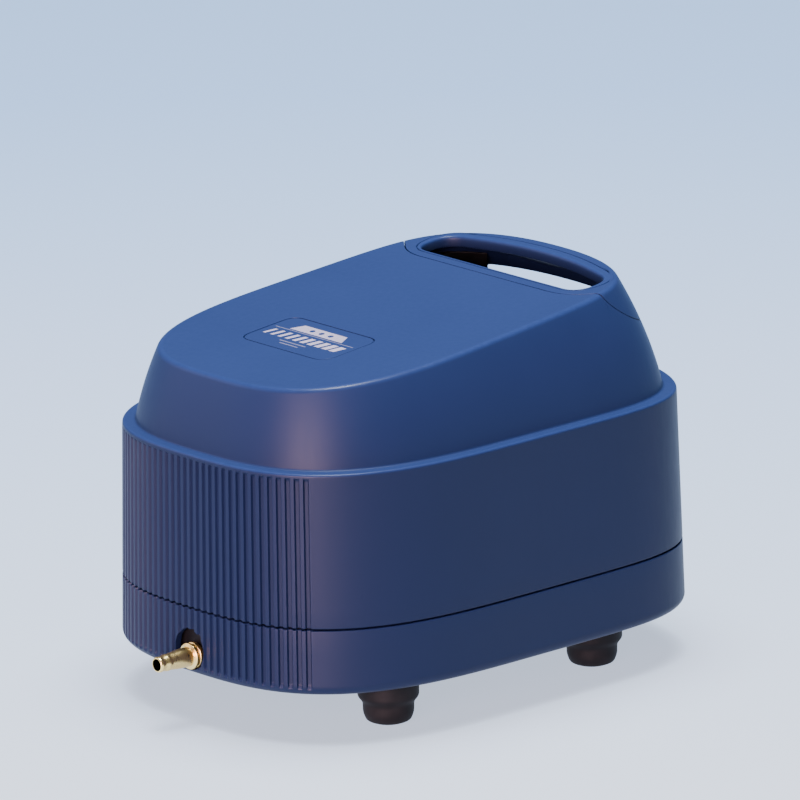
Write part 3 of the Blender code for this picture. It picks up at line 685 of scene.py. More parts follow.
def make_shell(name: str, outer: np.ndarray, inner: np.ndarray, faces: np.ndarray,
               edge: np.ndarray) -> bpy.types.Object:
    """Make a wall between two sheets that share their quads, closed along every free edge.

    Args:
        name: The piece's name.
        outer: The outer sheet's points.
        inner: The inner sheet's points, one for each outer one.
        faces: The quads of the outer sheet, all turned the same way.
        edge: How much painted highlight each outer point gets.

    Returns:
        The new object.
    """
    kept, faces = weld(outer, faces)
    count = len(kept)
    starts, ends = faces.reshape(-1), np.roll(faces, -1, axis=1).reshape(-1)
    real = starts != ends
    starts, ends = starts[real], ends[real]
    free = ~np.isin(starts * count + ends, ends * count + starts)
    starts, ends = starts[free], ends[free]
    rim = np.stack([ends, starts, starts + count, ends + count], axis=1)
    every = np.concatenate([faces, faces[:, ::-1] + count, rim])
    return make_piece(name, np.concatenate([outer[kept], inner[kept]]), every,
                      np.concatenate([edge[kept], np.zeros(count)]))


def bezier(start: np.ndarray, middle: np.ndarray, end: np.ndarray, share: np.ndarray) -> np.ndarray:
    """Return points of a curve of the second degree: start and end weighted by squares."""
    return (1.0 - share) ** 2 * start + 2.0 * share * (1.0 - share) * middle + share ** 2 * end


def rounded_path(corners: Sequence[Point], radii: Sequence[float], steps: int = 6,
                 closed: bool = True) -> np.ndarray:
    """Return an outline of straight runs whose corners are bowed over a radius.

    Each corner is a curve of the second degree from one radius before it to one after.

    Args:
        corners: The corners, in order.
        radii: How far from its corner each curve starts; 0 leaves it sharp.
        steps: Points on each curve.
        closed: Whether the last corner joins the first.

    Returns:
        The outline's points.
    """
    places = np.array(corners, float)
    count = len(places)
    parts = []
    for index in range(count):
        here, radius = places[index], radii[index]
        before, after = places[index - 1], places[(index + 1) % count]
        if radius <= 0.0 or (not closed and index in (0, count - 1)):
            parts.append(here[None])
            continue
        into = here - (here - before) / np.linalg.norm(here - before) * radius
        out = here + (after - here) / np.linalg.norm(after - here) * radius
        parts.append(bezier(into, here, out, np.linspace(0.0, 1.0, steps)[:, None]))
    return np.concatenate(parts)


def resample(line: np.ndarray, count: int) -> np.ndarray:
    """Return points spaced evenly along an open line."""
    run = np.concatenate([[0.0], np.cumsum(np.linalg.norm(np.diff(line, axis=0), axis=1))])
    along = np.linspace(0.0, run[-1], count)
    return np.stack([np.interp(along, run, line[:, k]) for k in range(line.shape[1])], axis=1)


def reach(outline: np.ndarray, centre: Point, bearing: np.ndarray) -> np.ndarray:
    """Return how far an outline lies from a centre at each bearing.

    Args:
        outline: The closed outline's points in x and y.
        centre: The place that the bearings start from.
        bearing: The angles, in radians from +X.

    Returns:
        One distance for each bearing.
    """
    dense = resample(np.concatenate([outline, outline[:1]]), 6000)[:-1] - np.array(centre)
    angle = np.arctan2(dense[:, 1], dense[:, 0])
    order = np.argsort(angle)
    length = np.hypot(dense[:, 0], dense[:, 1])
    return np.interp(bearing, angle[order], length[order], period=2.0 * math.pi)


# ------------------------------------------------------------------ casing surface

@dataclass
class CasingForm:
    """The casing's outer surface as columns round its plan.

    The plan is |x / a|^px + |y / b|^py = 1 with other powers in front than behind.  An
    inset scales a column's point towards the centre.  Grooves push columns inwards.
    Lengths are in millimetres, and a share runs from 0 at the ledge to 1 on the top.
    """

    half_width: float = 90.0
    half_length: float = 122.2
    front_powers: tuple[float, float] = (2.89, 3.25)
    back_powers: tuple[float, float] = (2.23, 5.6)
    seam: float = 52.0
    seam_half: float = 0.4
    ledge: float = 121.2
    ledge_width: float = 5.1
    draft: float = 0.0217
    dome_lean: float = 0.192
    dome_curve: float = 0.003
    top_height: float = 163.5
    top_slope: float = 0.0923
    top_round: float = 2.0
    rib_pitch: float = 4.19
    grooves: int = 32
    groove_depth: float = 1.1
    groove_half: float = 0.72
    groove_flank: float = 0.62
    crest_place: float = 1.45
    crest_half: float = 0.25
    far: float = 9.0
    spacing: float = 2.4
    window_edge: float = 57.9
    seam_run: float = 258.5
    seam_reach: float = 3.0
    seam_columns: int = 31
    rib_columns: tuple[float, ...] = (0.0, 0.5, 0.75, 0.95, 1.12, 1.3, 1.6)
    corner_columns: tuple[float, ...] = (-0.9, -0.05, 0.05, 0.4, 0.9, 1.5, 2.2, 3.0)
    wall_share: float = 0.8
    first_height: float = 45.0
    settling: int = 14
    x: np.ndarray = field(init=False)
    y: np.ndarray = field(init=False)
    groove: np.ndarray = field(init=False)
    crest: np.ndarray = field(init=False)
    window: np.ndarray = field(init=False)

    def __post_init__(self) -> None:
        """Lay out the columns, counter-clockwise from the middle of the back."""
        x, y, run = self.trace()
        along = self.columns(x, run)
        self.x, self.y = np.interp(along, run, x), np.interp(along, run, y)
        phase = (along / self.rib_pitch + self.grooves / 2.0) % 1.0 - 0.5
        inside = np.abs(along) < self.grooves * self.rib_pitch / 2.0
        apart = np.where(inside, np.abs(phase) * self.rib_pitch, self.far)
        share = np.clip((apart - self.groove_half) / self.groove_flank, 0.0, 1.0)
        self.groove = self.groove_depth * (1.0 - share * share * (3.0 - 2.0 * share))
        # crest marks each rib's crest, which gets a painted highlight
        self.crest = np.clip(1.0 - np.abs(apart - self.crest_place) / self.crest_half, 0.0, 1.0)
        self.window = np.maximum(self.window_edge - np.abs(self.x), 0.0) * (self.y > 0.0)

    def trace(self) -> tuple[np.ndarray, np.ndarray, np.ndarray]:
        """Return a dense outline and its length from the front's middle.

        Returns:
            The outline's x and y from the middle of the back, and the length at each point.
        """
        front, back = self.quarter(self.front_powers), self.quarter(self.back_powers)
        parts = (back[::-1] * (-1.0, 1.0), front * (-1.0, -1.0), front[::-1] * (1.0, -1.0), back)
        loop = np.concatenate(parts)
        run = np.concatenate([[0.0], np.cumsum(np.linalg.norm(np.diff(loop, axis=0), axis=1))])
        return loop[:, 0], loop[:, 1], run - run[-1] / 2.0 - self.offset(run, loop)

    @staticmethod
    def offset(run: np.ndarray, loop: np.ndarray) -> float:
        """Return how far the front's middle is from the middle of the run."""
        return float(run[np.argmin(loop[:, 1])] - run[-1] / 2.0)

    def quarter(self, powers: tuple[float, float], count: int = 1500) -> np.ndarray:
        """Return a quarter of the outline from its side to its end, solved for x and then for y.

        Args:
            powers: The powers of x and of y.
            count: Points on each half of the quarter.

        Returns:
            The points in x and y, both positive.
        """
        px, py = powers
        high = np.linspace(0.0, 0.5 ** (1.0 / py), count)
        wide = np.linspace(0.5 ** (1.0 / px), 0.0, count)[1:]
        side = np.stack([(1.0 - high ** py) ** (1.0 / px), high], axis=1)
        end = np.stack([wide, (1.0 - wide ** px) ** (1.0 / py)], axis=1)
        return np.concatenate([side, end]) * (self.half_width, self.half_length)

    def columns(self, x: np.ndarray, run: np.ndarray) -> np.ndarray:
        """Return the columns' places, close together at grooves, window corners and the cap's seam.

        Args:
            x: The dense outline's x.
            run: The length along it at each point.

        Returns:
            The lengths at which the columns stand, in order.
        """
        near = np.array(self.rib_columns)
        centres = (np.arange(self.grooves) - (self.grooves - 1) / 2.0) * self.rib_pitch
        ribs = (centres[:, None] + np.concatenate([-near[1:], near])).ravel()
        crests = np.append(centres, centres[-1] + self.rib_pitch) - self.rib_pitch / 2.0
        half = -run[0]
        side = np.linspace(crests[-1] + 0.8, half - 0.4, int((half - crests[-1]) / self.spacing))
        behind = run > half / 2.0
        corner = np.interp(-self.window_edge, -x[behind], run[behind])
        corners = corner + np.array(self.corner_columns)
        seam = np.linspace(-self.seam_reach, self.seam_reach, self.seam_columns)
        corners = np.concatenate([corners, self.seam_run + seam])
        free = side[np.min(np.abs(side[:, None] - corners), axis=1) > 0.5]
        one_side = np.concatenate([free, corners])
        return np.sort(np.concatenate([ribs, crests, one_side, -one_side]))

    def side_inset(self, z: np.ndarray) -> np.ndarray:
        """Return how far the leaning side has moved in at a height."""
        return self.draft * (np.asarray(z, float) - self.seam)

    def top(self, y: np.ndarray) -> np.ndarray:
        """Return the height of the sloping top."""
        return self.top_height + self.top_slope * np.asarray(y, float)

    def y_at(self, inset: np.ndarray) -> np.ndarray:
        """Return the columns' y at an inset."""
        return self.y * (1.0 - inset / self.half_length)

    def spread(self, inset: np.ndarray, z: np.ndarray) -> np.ndarray:
        """Return points of rows by columns at insets and heights."""
        shape = np.broadcast_shapes(np.shape(inset), np.shape(z), self.x.shape)
        return self.at(np.arange(len(self.x)), np.broadcast_to(inset, shape), np.broadcast_to(z, shape))

    def at(self, columns: np.ndarray, inset: np.ndarray, z: np.ndarray) -> np.ndarray:
        """Return the points of some columns at an inset and a height for each."""
        x = self.x[columns] * (1.0 - inset / self.half_width)
        y = self.y[columns] * (1.0 - inset / self.half_length)
        return np.stack([x, y, z], axis=-1)

    def outline(self, inset: float) -> np.ndarray:
        """Return the plan at an inset as points in x and y."""
        return np.stack([self.x * (1.0 - inset / self.half_width), self.y_at(inset)], axis=1)

    def wall_inset(self, height: np.ndarray) -> np.ndarray:
        """Return the dome wall's inset at a height over the ledge."""
        start = self.side_inset(self.ledge) + self.ledge_width
        return start + self.dome_lean * height + self.dome_curve * height ** 2

    def dome(self, share: np.ndarray) -> tuple[np.ndarray, np.ndarray]:
        """Return the inset and height at a share of the way up the dome.

        Up to wall_share the inset grows with the height h as lean * h + curve * h squared;
        above it a curve of the second degree rounds the wall into the sloping top.  The
        wall's height and inset depend on each other, so they are settled in turns.

        Args:
            share: The shares, as rows by columns or rows alone.

        Returns:
            The insets and the heights, as rows by columns.
        """
        height = np.full(self.x.shape, self.first_height)
        for _ in range(self.settling):
            inset = self.wall_inset(height)
            height = self.top(self.y_at(inset)) - self.top_round - self.ledge
        lean = self.dome_lean + 2.0 * self.dome_curve * height
        near = inset + lean * self.top_round
        far = near + self.top_round * np.sqrt(1.0 + lean ** 2)
        rise = np.clip(share / self.wall_share, 0.0, 1.0) * height
        turn = np.clip((share - self.wall_share) / (1.0 - self.wall_share), 0.0, 1.0)
        arc_inset = bezier(inset, near, far, turn)
        tops = self.top(self.y_at(near)), self.top(self.y_at(far))
        arc_z = bezier(self.ledge + height, *tops, turn)
        low = share < self.wall_share
        return np.where(low, self.wall_inset(rise), arc_inset), np.where(low, self.ledge + rise, arc_z)

    @staticmethod
    def crossing(reached: np.ndarray, samples: np.ndarray) -> np.ndarray:
        """Return where on each column a field first rises over 0, between two samples.

        Args:
            reached: The field, as samples by columns.
            samples: The shares that it was sampled at, evenly spaced.

        Returns:
            One share for each column, or 1 where the field stays under 0.
        """
        over = reached >= 0.0
        first = np.argmax(over, axis=0)
        columns = np.arange(len(first))
        after, before = reached[first, columns], reached[np.maximum(first - 1, 0), columns]
        back = after / np.maximum(after - before, 1e-9)
        share = samples[first] - back * (samples[1] - samples[0])
        return np.where(over.any(axis=0), np.where(first == 0, samples[0], share), 1.0)


@dataclass(frozen=True)
class SeamCurve:
    """The line that splits the handle cap from the housing on the side walls.

    Seen from the side it is |(y - cy) / ry|^p + |(z - cz) / rz|^p = 1.
    """

    centre: tuple[float, float] = (125.0, 171.0)
    radii: tuple[float, float] = (62.7, 27.0)
    power: float = 1.6

    def reached(self, y: np.ndarray, z: np.ndarray, grow: float) -> np.ndarray:
        """Return a number that is over 0 on the cap's side of the curve."""
        along = np.maximum(self.centre[0] - y, 0.0) / (self.radii[0] + grow)
        down = np.maximum(self.centre[1] - z, 0.0) / (self.radii[1] + grow)
        return 1.0 - along ** self.power - down ** self.power


@dataclass
class UpperParts:
    """What the housing and the handle cap share: where each ends on every column."""

    form: CasingForm
    seam: SeamCurve = SeamCurve()
    gap: float = 0.25
    sill_z: float = 139.8
    grip_z: float = 156.4
    corner: float = 3.2
    tongue_front: float = 52.2
    tongue_turn: float = 51.5
    tongue_radius: float = 9.5

    def ends(self, window_z: np.ndarray, grow: float) -> np.ndarray:
        """Return the share of each column where a part ends, at the window or on the seam.

        Args:
            window_z: The height of the part's edge at the window, for each column.
            grow: How far the seam's curve is grown towards the housing.

        Returns:
            One share for each column, which is 1 where the part has no end.
        """
        samples = np.linspace(0.0, 1.0, 500)
        inset, z = self.form.dome(samples[:, None])
        on_seam = self.form.crossing(self.seam.reached(self.form.y_at(inset), z, grow), samples)
        in_window = self.form.crossing(z - window_z, samples)
        return np.where(self.form.window > 0.0, in_window, on_seam)

    def corner_rise(self) -> np.ndarray:
        """Return how far the window's edge is lifted by its round corners."""
        short = np.clip(self.corner - self.form.window, 0.0, self.corner)
        return self.corner - np.sqrt(self.corner ** 2 - short ** 2)

    def housing_ends(self) -> np.ndarray:
        """Return where the housing ends on each column."""
        return self.ends(self.sill_z + self.corner_rise(), self.gap)

    def cap_ends(self) -> np.ndarray:
        """Return where the cap ends on each column."""
        return self.ends(self.grip_z - self.corner_rise(), -self.gap)

    def tongue(self, right: np.ndarray, left: np.ndarray, forward: float,
               count: int = 96) -> np.ndarray:
        """Return the cap's front line on the top.

        Args:
            right: The line's right end.
            left: Its left end.
            forward: How far the line is moved towards the back.
            count: How many points it has.

        Returns:
            The points from right to left.
        """
        front = self.tongue_front - forward
        corners = [right[:2], (self.tongue_turn, front), (-self.tongue_turn, front), left[:2]]
        radii = [0.0, self.tongue_radius, self.tongue_radius, 0.0]
        line = resample(rounded_path(corners, radii, 10, False), count)
        return np.column_stack([line, self.form.top(line[:, 1])])


# -------------------------------------------------------------------- casing parts

@dataclass
class Housing:
    """The upper housing: ribbed band, ledge and dome, with the label's recess in its top.

    A step is how far a ring lies from the line it follows, how far it drops, and how much
    painted highlight it gets.
    """

    upper: UpperParts
    paint: Paintbox
    rim_round: float = 1.2
    groove_end: float = 119.4
    foot_round: float = 0.9
    wall: float = 3.0
    lean_in: float = 2.0
    turn_z: float = 112.0
    first_share: float = 0.03
    share_rows: int = 11
    window_round: float = 0.8
    seam_round: float = 0.35
    label: tuple[float, float] = (0.0, -50.0)
    label_half: tuple[float, float] = (28.4, 16.5)
    label_radius: float = 7.0
    recess_depth: float = 1.0
    sill_inset: float = 18.2
    sill_thickness: float = 3.8
    rim_steps: tuple[Point, ...] = ((0.0, 0.3, 0.5), (0.12, 0.1, 0.5), (0.4, 0.0, 0.5), (0.9, 0.0, 0.0))
    top_shares: tuple[float, ...] = (0.25, 0.5, 0.75, 0.93)
    recess_steps: tuple[Point, ...] = (
        (0.6, 0.0, 0.0), (0.25, 0.0, 0.2), (0.08, 0.06, 0.6), (0.0, 0.25, 0.5),
        (0.0, 0.85, 0.0), (-0.15, 1.0, 0.0), (-0.6, 1.0, 0.0), (-8.0, 1.0, 0.0))

    def lower_rows(self) -> tuple[np.ndarray, ...]:
        """Return the rows of the band and the ledge, from the seam up.

        Returns:
            For each row its inset, height, share of the grooves, the inner wall's step in and
            step down, and its painted highlight.
        """
        form = self.upper.form
        low = form.seam + form.seam_half
        steps = np.linspace(0.0, math.pi / 2.0, 7)
        foot = np.linspace(0.0, 1.0, 5)
        lean = float(form.side_inset(form.ledge))
        centre = form.ledge - self.rim_round
        z = np.concatenate([
            low + np.array([0.0, 0.08, 0.3, 0.7, 9.0, 26.0, 45.0]),
            self.groove_end - np.array([2.2, 1.3, 0.8, 0.4, 0.0]),
            centre + self.rim_round * np.sin(steps),
            np.full(2, form.ledge),
            bezier(form.ledge, form.ledge, form.ledge + self.foot_round, foot)])
        extra = np.concatenate([
            [0.5, 0.2, 0.04], np.zeros(9), self.rim_round * (1.0 - np.cos(steps)),
            [self.rim_round + 1.0, form.ledge_width - self.foot_round - 0.4],
            bezier(form.ledge_width - self.foot_round, form.ledge_width, form.ledge_width + 0.17, foot)])
        groove = np.concatenate([np.ones(8), [1.0, 0.8, 0.25, 0.0], np.zeros(14)])
        turned = np.clip((z - self.turn_z) / (form.ledge - self.turn_z), 0.0, 1.0)
        # painted highlight at the seam's edge and on the ledge's round rim
        painted_light = np.concatenate([[0.4, 0.4, 0.2], np.zeros(9), np.sin(2.0 * steps), np.zeros(7)])
        inset = np.where(z < centre, form.side_inset(z), lean) + extra
        step_in = self.wall + (self.lean_in - self.wall) * turned
        return inset, z, groove, step_in, self.wall * turned, painted_light

    def sheets(self) -> tuple[np.ndarray, np.ndarray, np.ndarray]:
        """Return the sheets of the band, ledge and dome.

        Returns:
            The outer and the inner points, as rows by columns, and the outer ones' painted highlight.
        """
        form = self.upper.form
        inset, z, groove, step_in, step_down, painted_light = (row[:, None] for row in self.lower_rows())
        lower_outer = form.spread(inset + groove * form.groove, z)
        lower_inner = form.spread(inset + step_in, z - step_down)
        # painted highlight also on the rib crests
        lower_edge = np.maximum(painted_light, groove * form.crest)
        ends = self.upper.housing_ends()
        rows = np.concatenate([np.linspace(self.first_share, form.wall_share, self.share_rows),
                               np.linspace(form.wall_share, 1.0, self.share_rows)[1:]])[:, None]
        dome_inset, dome_z = form.dome(rows * ends)
        last_inset, last_z = dome_inset[-1], dome_z[-1]
        front = ends >= 1.0
        size = np.where(form.window > 0.0, self.window_round, self.seam_round)
        edge_inset = last_inset + np.where(front, np.array([[0.3], [0.6]]), np.stack([0.3 * size, size]))
        edge_z = last_z + np.stack([0.7 * size, size]) - size * 0.6
        edge_z = np.where(front, form.top(form.y_at(edge_inset)), edge_z)
        upper_inset = np.concatenate([dome_inset, edge_inset])
        upper_z = np.concatenate([dome_z, edge_z])
        upper_outer = form.spread(upper_inset, upper_z)
        upper_inner = form.spread(upper_inset + self.lean_in, upper_z - self.wall)
        turn = np.clip((rows * ends - form.wall_share) / (1.0 - form.wall_share), 0.0, 1.0)
        # painted highlight on the round edge into the top and along the seam and window edges
        seam_sheen = np.where(front, 0.0, 0.5) * np.ones((2, 1))
        upper_edge = np.concatenate([np.sin(turn * math.pi), seam_sheen])
        return (np.concatenate([lower_outer, upper_outer]), np.concatenate([lower_inner, upper_inner]),
                np.concatenate([lower_edge, upper_edge]))

    def sill(self, last: np.ndarray, last_inner: np.ndarray) -> tuple[np.ndarray, ...]:
        """Return the shelf behind the finger window.

        Args:
            last: The outer sheet's last row.
            last_inner: The inner sheet's last row.

        Returns:
            The outer points, the inner points and the quads.
        """
        form = self.upper.form
        inside = np.flatnonzero(form.window > 0.0)
        order = np.roll(inside, -int(np.argmax(np.diff(inside)) + 1))
        near = last[order]
        far = form.spread(np.array([[self.sill_inset]]), np.zeros((1, 1)))[0][order]
        share = np.array([0.0, 0.3, 0.65, 1.0])[:, None, None]
        outer = near * (1.0 - share) + far * share
        climb = np.clip(share[..., 0] * 3.0, 0.0, 1.0)
        outer[..., 2] = near[:, 2] + (self.upper.sill_z - near[:, 2]) * climb
        outer[..., 2] = np.maximum(outer[..., 2], near[:, 2])
        inner = outer - (0.0, 0.0, self.sill_thickness)
        inner[0] = last_inner[order]
        return outer.reshape(-1, 3), inner.reshape(-1, 3), grid_faces(4, len(order), wrap_columns=False)

    def crown(self, last: np.ndarray, last_inner: np.ndarray) -> tuple[np.ndarray, ...]:
        """Return the top in front of the cap, from its rim to the label's recess.

        Each ring is the rim drawn towards the recess's outline at the same bearing, and the
        last rings go down the recess's side and across its floor to the centre.

        Args:
            last: The outer sheet's last row.
            last_inner: The inner sheet's last row.

        Returns:
            The outer points, the inner points, the quads and the outer points' painted highlight.
        """
        form = self.upper.form
        front = np.flatnonzero(self.upper.housing_ends() >= 1.0)
        rim, rim_inner = last[front], last_inner[front]
        line = self.upper.tongue(rim[-1], rim[0], self.upper.gap)[1:-1]
        border = np.concatenate([rim, line])
        border_inner = np.concatenate([rim_inner, line - (0.0, 0.0, self.wall)])
        on_line = np.concatenate([np.zeros(len(rim)), np.ones(len(line))])
        centre = np.array(self.label)
        away = border[:, :2] - centre
        distance = np.hypot(away[:, 0], away[:, 1])
        bearing = np.arctan2(away[:, 1], away[:, 0])
        unit = away / distance[:, None]
        half_x, half_y = self.label_half
        corners = [(-half_x, -half_y), (half_x, -half_y), (half_x, half_y), (-half_x, half_y)]
        edge_distance = reach(rounded_path(corners, [self.label_radius] * 4, 12), (0.0, 0.0), bearing)
        plain, full = np.zeros(len(border)), np.ones(len(border))
        start = distance - self.rim_steps[-1][0]
        # painted highlight along the cap's seam and the label recess's edge
        rings = [(distance - step, -drop * on_line, sheen * on_line) for step, drop, sheen in self.rim_steps]
        rings += [(start - (start - edge_distance) * share, plain, plain) for share in self.top_shares]
        rings += [(edge_distance + step, -drop * full, sheen * full)
                  for step, drop, sheen in self.recess_steps]
        rings.append((plain, -self.recess_depth * full, plain))
        radii, drops, sheens = (np.array(part) for part in zip(*rings))
        place = centre + unit * radii[..., None]
        outer = np.concatenate([place, (form.top(place[..., 1]) + drops)[..., None]], axis=-1)
        inner = outer - (0.0, 0.0, self.wall)
        outer[0], inner[0] = border, border_inner
        outer[0, :, 2] += drops[0]
        faces = grid_faces(len(rings), len(border))
        return outer.reshape(-1, 3), inner.reshape(-1, 3), faces, sheens.ravel()

    def build(self) -> bpy.types.Object:
        """Build the housing.

        Returns:
            The finished piece.
        """
        outer, inner, edge = self.sheets()
        rows, columns = outer.shape[:2]
        points, insides = [outer.reshape(-1, 3)], [inner.reshape(-1, 3)]
        faces, edges = [grid_faces(rows, columns)], [edge.reshape(-1)]
        total = rows * columns
        shelf_outer, shelf_inner, shelf_faces = self.sill(outer[-1], inner[-1])
        crown_outer, crown_inner, crown_faces, crown_edge = self.crown(outer[-1], inner[-1])
        for more, more_in, more_faces, more_edge in (
                (shelf_outer, shelf_inner, shelf_faces, np.zeros(len(shelf_outer))),
                (crown_outer, crown_inner, crown_faces, crown_edge)):
            points.append(more)
            insides.append(more_in)
            faces.append(more_faces + total)
            edges.append(more_edge)
            total += len(more)
        piece = make_shell("housing_shell", np.concatenate(points), np.concatenate(insides),
                           np.concatenate(faces), np.concatenate(edges))
        self.paint.coat(piece, Finish.CASING)
        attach(piece, "casing")
        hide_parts("upper_housing")
        return piece


@dataclass
class HandleCap:
    """The handle cap: a lipped slot, a thick grip behind it and a skirt down to the seam.

    A step is how far a ring lies from the slot's wall, its height, and how much painted highlight it
    gets.
    """

    upper: UpperParts
    paint: Paintbox
    centre: tuple[float, float] = (0.0, 74.0)
    slot_half: float = 53.3
    slot_ys: tuple[float, float, float] = (59.3, 79.0, 92.2)
    slot_radii: tuple[float, ...] = (9.0, 9.0, 9.6, 38.0, 9.6)
    under_y: tuple[float, ...] = (56.0, 88.0, 112.0, 140.0)
    under_z: tuple[float, ...] = (163.8, 166.7, 156.4, 156.4)
    lip: float = 1.9
    lip_growth: float = 2.7
    grip_start: float = 60.0
    grip_depth: float = 26.0
    wall: float = 3.6
    front_wall: float = 2.0
    wall_rows: int = 22
    edge_drop: float = 0.3
    apart: float = 0.01
    under_steps: tuple[Point, ...] = ((0.35, 0.0, 0.2), (0.08, 0.12, 0.3), (0.0, 0.5, 0.0))
    lip_steps: tuple[Point, ...] = (
        (0.0, -2.0, 0.0), (0.06, -1.2, 0.2), (0.25, -0.62, 0.6), (0.6, -0.2, 1.0), (1.05, -0.02, 0.8),
        (1.5, 0.03, 0.3))
    groove_steps: tuple[Point, ...] = (
        (-0.32, 0.0, 0.2), (-0.12, -0.2, 0.3), (-0.02, -0.75, 0.0), (0.3, -0.75, 0.0), (0.4, -0.2, 0.3),
        (0.6, -0.02, 0.2), (0.95, 0.0, 0.0))
    top_shares: tuple[float, ...] = (0.2, 0.45, 0.72, 0.93)
    under_shares: tuple[float, ...] = (0.0, 0.3, 0.65, 0.95)

    def slot(self) -> np.ndarray:
        """Return the slot's outline: straight in front, bowed behind."""
        near, side, apex = self.slot_ys
        half = self.slot_half
        corners = [(-half, near), (half, near), (half, side), (0.0, apex), (-half, side)]
        return rounded_path(corners, self.slot_radii, 24)

    def under(self, y: np.ndarray) -> np.ndarray:
        """Return the height of the grip's underside."""
        return np.interp(y, self.under_y, self.under_z)

    def border(self) -> tuple[np.ndarray, np.ndarray, np.ndarray, np.ndarray]:
        """Return the cap's outer face, round its back and then along its front line.

        Returns:
            The points as rows by columns from the top's rim down, the inner corner under each
            column, where the inner wall meets the underside, and 1 for a column of the front.
        """
        form = self.upper.form
        ends = self.upper.cap_ends()
        behind = np.flatnonzero(ends < 1.0)
        order = np.roll(behind, -int(np.argmax(np.diff(behind)) + 1))
        share = np.linspace(0.0, 1.0, self.wall_rows)[:, None]
        inset, z = form.dome(1.0 - share * (1.0 - ends))
        inset, z = inset[:, order], z[:, order]
        last_inset, last_z = inset[-1], z[-1]
        edge_inset = last_inset + np.array([[0.1], [0.35]])
        edge_z = last_z - np.array([[0.2], [self.edge_drop]])
        wall = np.concatenate([form.at(order, inset, z), form.at(order, edge_inset, edge_z)])
        corner = form.at(order, last_inset + self.wall, last_z - self.edge_drop)
        high = np.maximum(self.under(corner[:, 1]), last_z - self.edge_drop)
        leaned = np.maximum(form.wall_inset(high - form.ledge), last_inset)
        ceiling = form.at(order, leaned + self.wall, high)
        line = self.upper.tongue(wall[0, 0], wall[0, -1], -self.upper.gap)[::-1][1:-1]
        front, front_corner = self.front_face(line)
        return (np.concatenate([wall, front], axis=1), np.concatenate([corner, front_corner]),
                np.concatenate([ceiling, front_corner + (0.0, 0.0, self.apart)]),
                np.concatenate([np.zeros(len(order)), np.ones(len(line))]))

    def front_face(self, line: np.ndarray) -> tuple[np.ndarray, np.ndarray]:
        """Return the upright face under the front line, with a round edge above and below.

        Args:
            line: The front line's points.

        Returns:
            The points as rows by columns from the top down, and the inner corner of each column.
        """
        away = np.array(self.centre) - line[:, :2]
        unit = away / np.linalg.norm(away, axis=1)[:, None]
        low = self.under(line[:, 1])
        depth = (line[:, 2] - low)[None]
        fall = np.linspace(0.0, 1.0, self.wall_rows - 3)[:, None]
        drop = np.concatenate([np.array([[0.0], [0.1], [0.35]]) + 0.0 * depth,
                               0.8 + (depth - 1.15) * fall, depth - 0.1, depth])
        back = np.concatenate([[0.35, 0.1, 0.0], np.zeros(self.wall_rows - 3), [0.1, 0.35]])
        place = line[None, :, :2] + unit[None] * back[:, None, None]
        face = np.concatenate([place, (line[None, :, 2] - drop)[..., None]], axis=-1)
        return face, np.column_stack([line[:, :2] + unit * self.front_wall, low])

    def slot_wall(self, rim: np.ndarray) -> tuple[np.ndarray, np.ndarray]:
        """Return the slot's outline at the same bearings as the rim.

        Args:
            rim: The top's outer rim.

        Returns:
            The outline's points in x and y, and its outward direction at each.
        """
        away = rim[:, :2] - np.array(self.centre)
        bearing = np.arctan2(away[:, 1], away[:, 0])
        slot = self.slot()
        dense = resample(np.concatenate([slot, slot[:1]]), 4000)[:-1]
        distance = reach(slot, self.centre, bearing)
        ray = np.stack([np.cos(bearing), np.sin(bearing)], axis=1)
        near = np.array(self.centre) + distance[:, None] * ray
        nearest = np.argmin(((dense[None] - near[:, None]) ** 2).sum(-1), axis=1)
        ahead, behind = dense[(nearest + 12) % len(dense)], dense[nearest - 12]
        normal = np.stack([(ahead - behind)[:, 1], -(ahead - behind)[:, 0]], axis=1)
        return near, normal / np.linalg.norm(normal, axis=1)[:, None]

    def build(self) -> bpy.types.Object:
        """Build the cap.

        Every column is a closed profile: up the slot's wall, over the lip and its groove,
        across the top, down the outside to the seam, in and back along the underside.

        Returns:
            The finished piece.
        """
        form = self.upper.form
        outside, corner, ceiling, on_line = self.border()
        rim = outside[0]
        near, normal = self.slot_wall(rim)
        plain = np.zeros(len(rim))
        span = np.clip((near[:, 1] - self.grip_start) / self.grip_depth, 0.0, 1.0)
        lip = self.lip + self.lip_growth * span
        rows, edges = [], []
        # each step's last number is its painted highlight: on the lip, its groove and the underside's
        # edge
        for start, base, steps in ((plain, self.under(near[:, 1]), self.under_steps),
                                   (plain, None, self.lip_steps), (lip, None, self.groove_steps)):
            for offset, over, painted_light in steps:
                place = near + normal * (start + offset)[:, None]
                height = (form.top(place[:, 1]) if base is None else base) + over
                rows.append(np.column_stack([place, height]))
                edges.append(plain + painted_light)
        last = rows[-1]
        for share in self.top_shares:
            row = last * (1.0 - share) + rim * share
            row[:, 2] = form.top(row[:, 1])
            rows.append(row)
            edges.append(plain)
        for level, row in zip(np.linspace(0.0, 1.0, len(outside)), outside):
            rows.append(row)
            # painted highlight along the round edge below the top and along the front line's edge
            band = max(1.0 - abs(level * 5.0 - 1.2), 0.0)
            edges.append(np.where(on_line > 0.5, 0.6 * (level < 0.15), band))
        rows.append(corner)
        edges.append(plain)
        for share in self.under_shares:
            row = ceiling * (1.0 - share) + rows[0] * share
            row[:, 2] = self.under(row[:, 1]) if share else ceiling[:, 2]
            rows.append(row)
            edges.append(plain)
        grid = np.stack(rows)
        piece = make_piece("cap_shell", grid.reshape(-1, 3),
                           grid_faces(len(rows), len(rim), wrap_rows=True), np.stack(edges).ravel())
        self.paint.coat(piece, Finish.CASING)
        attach(piece, "handle_cap")
        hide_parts("handle_cap")
        return piece


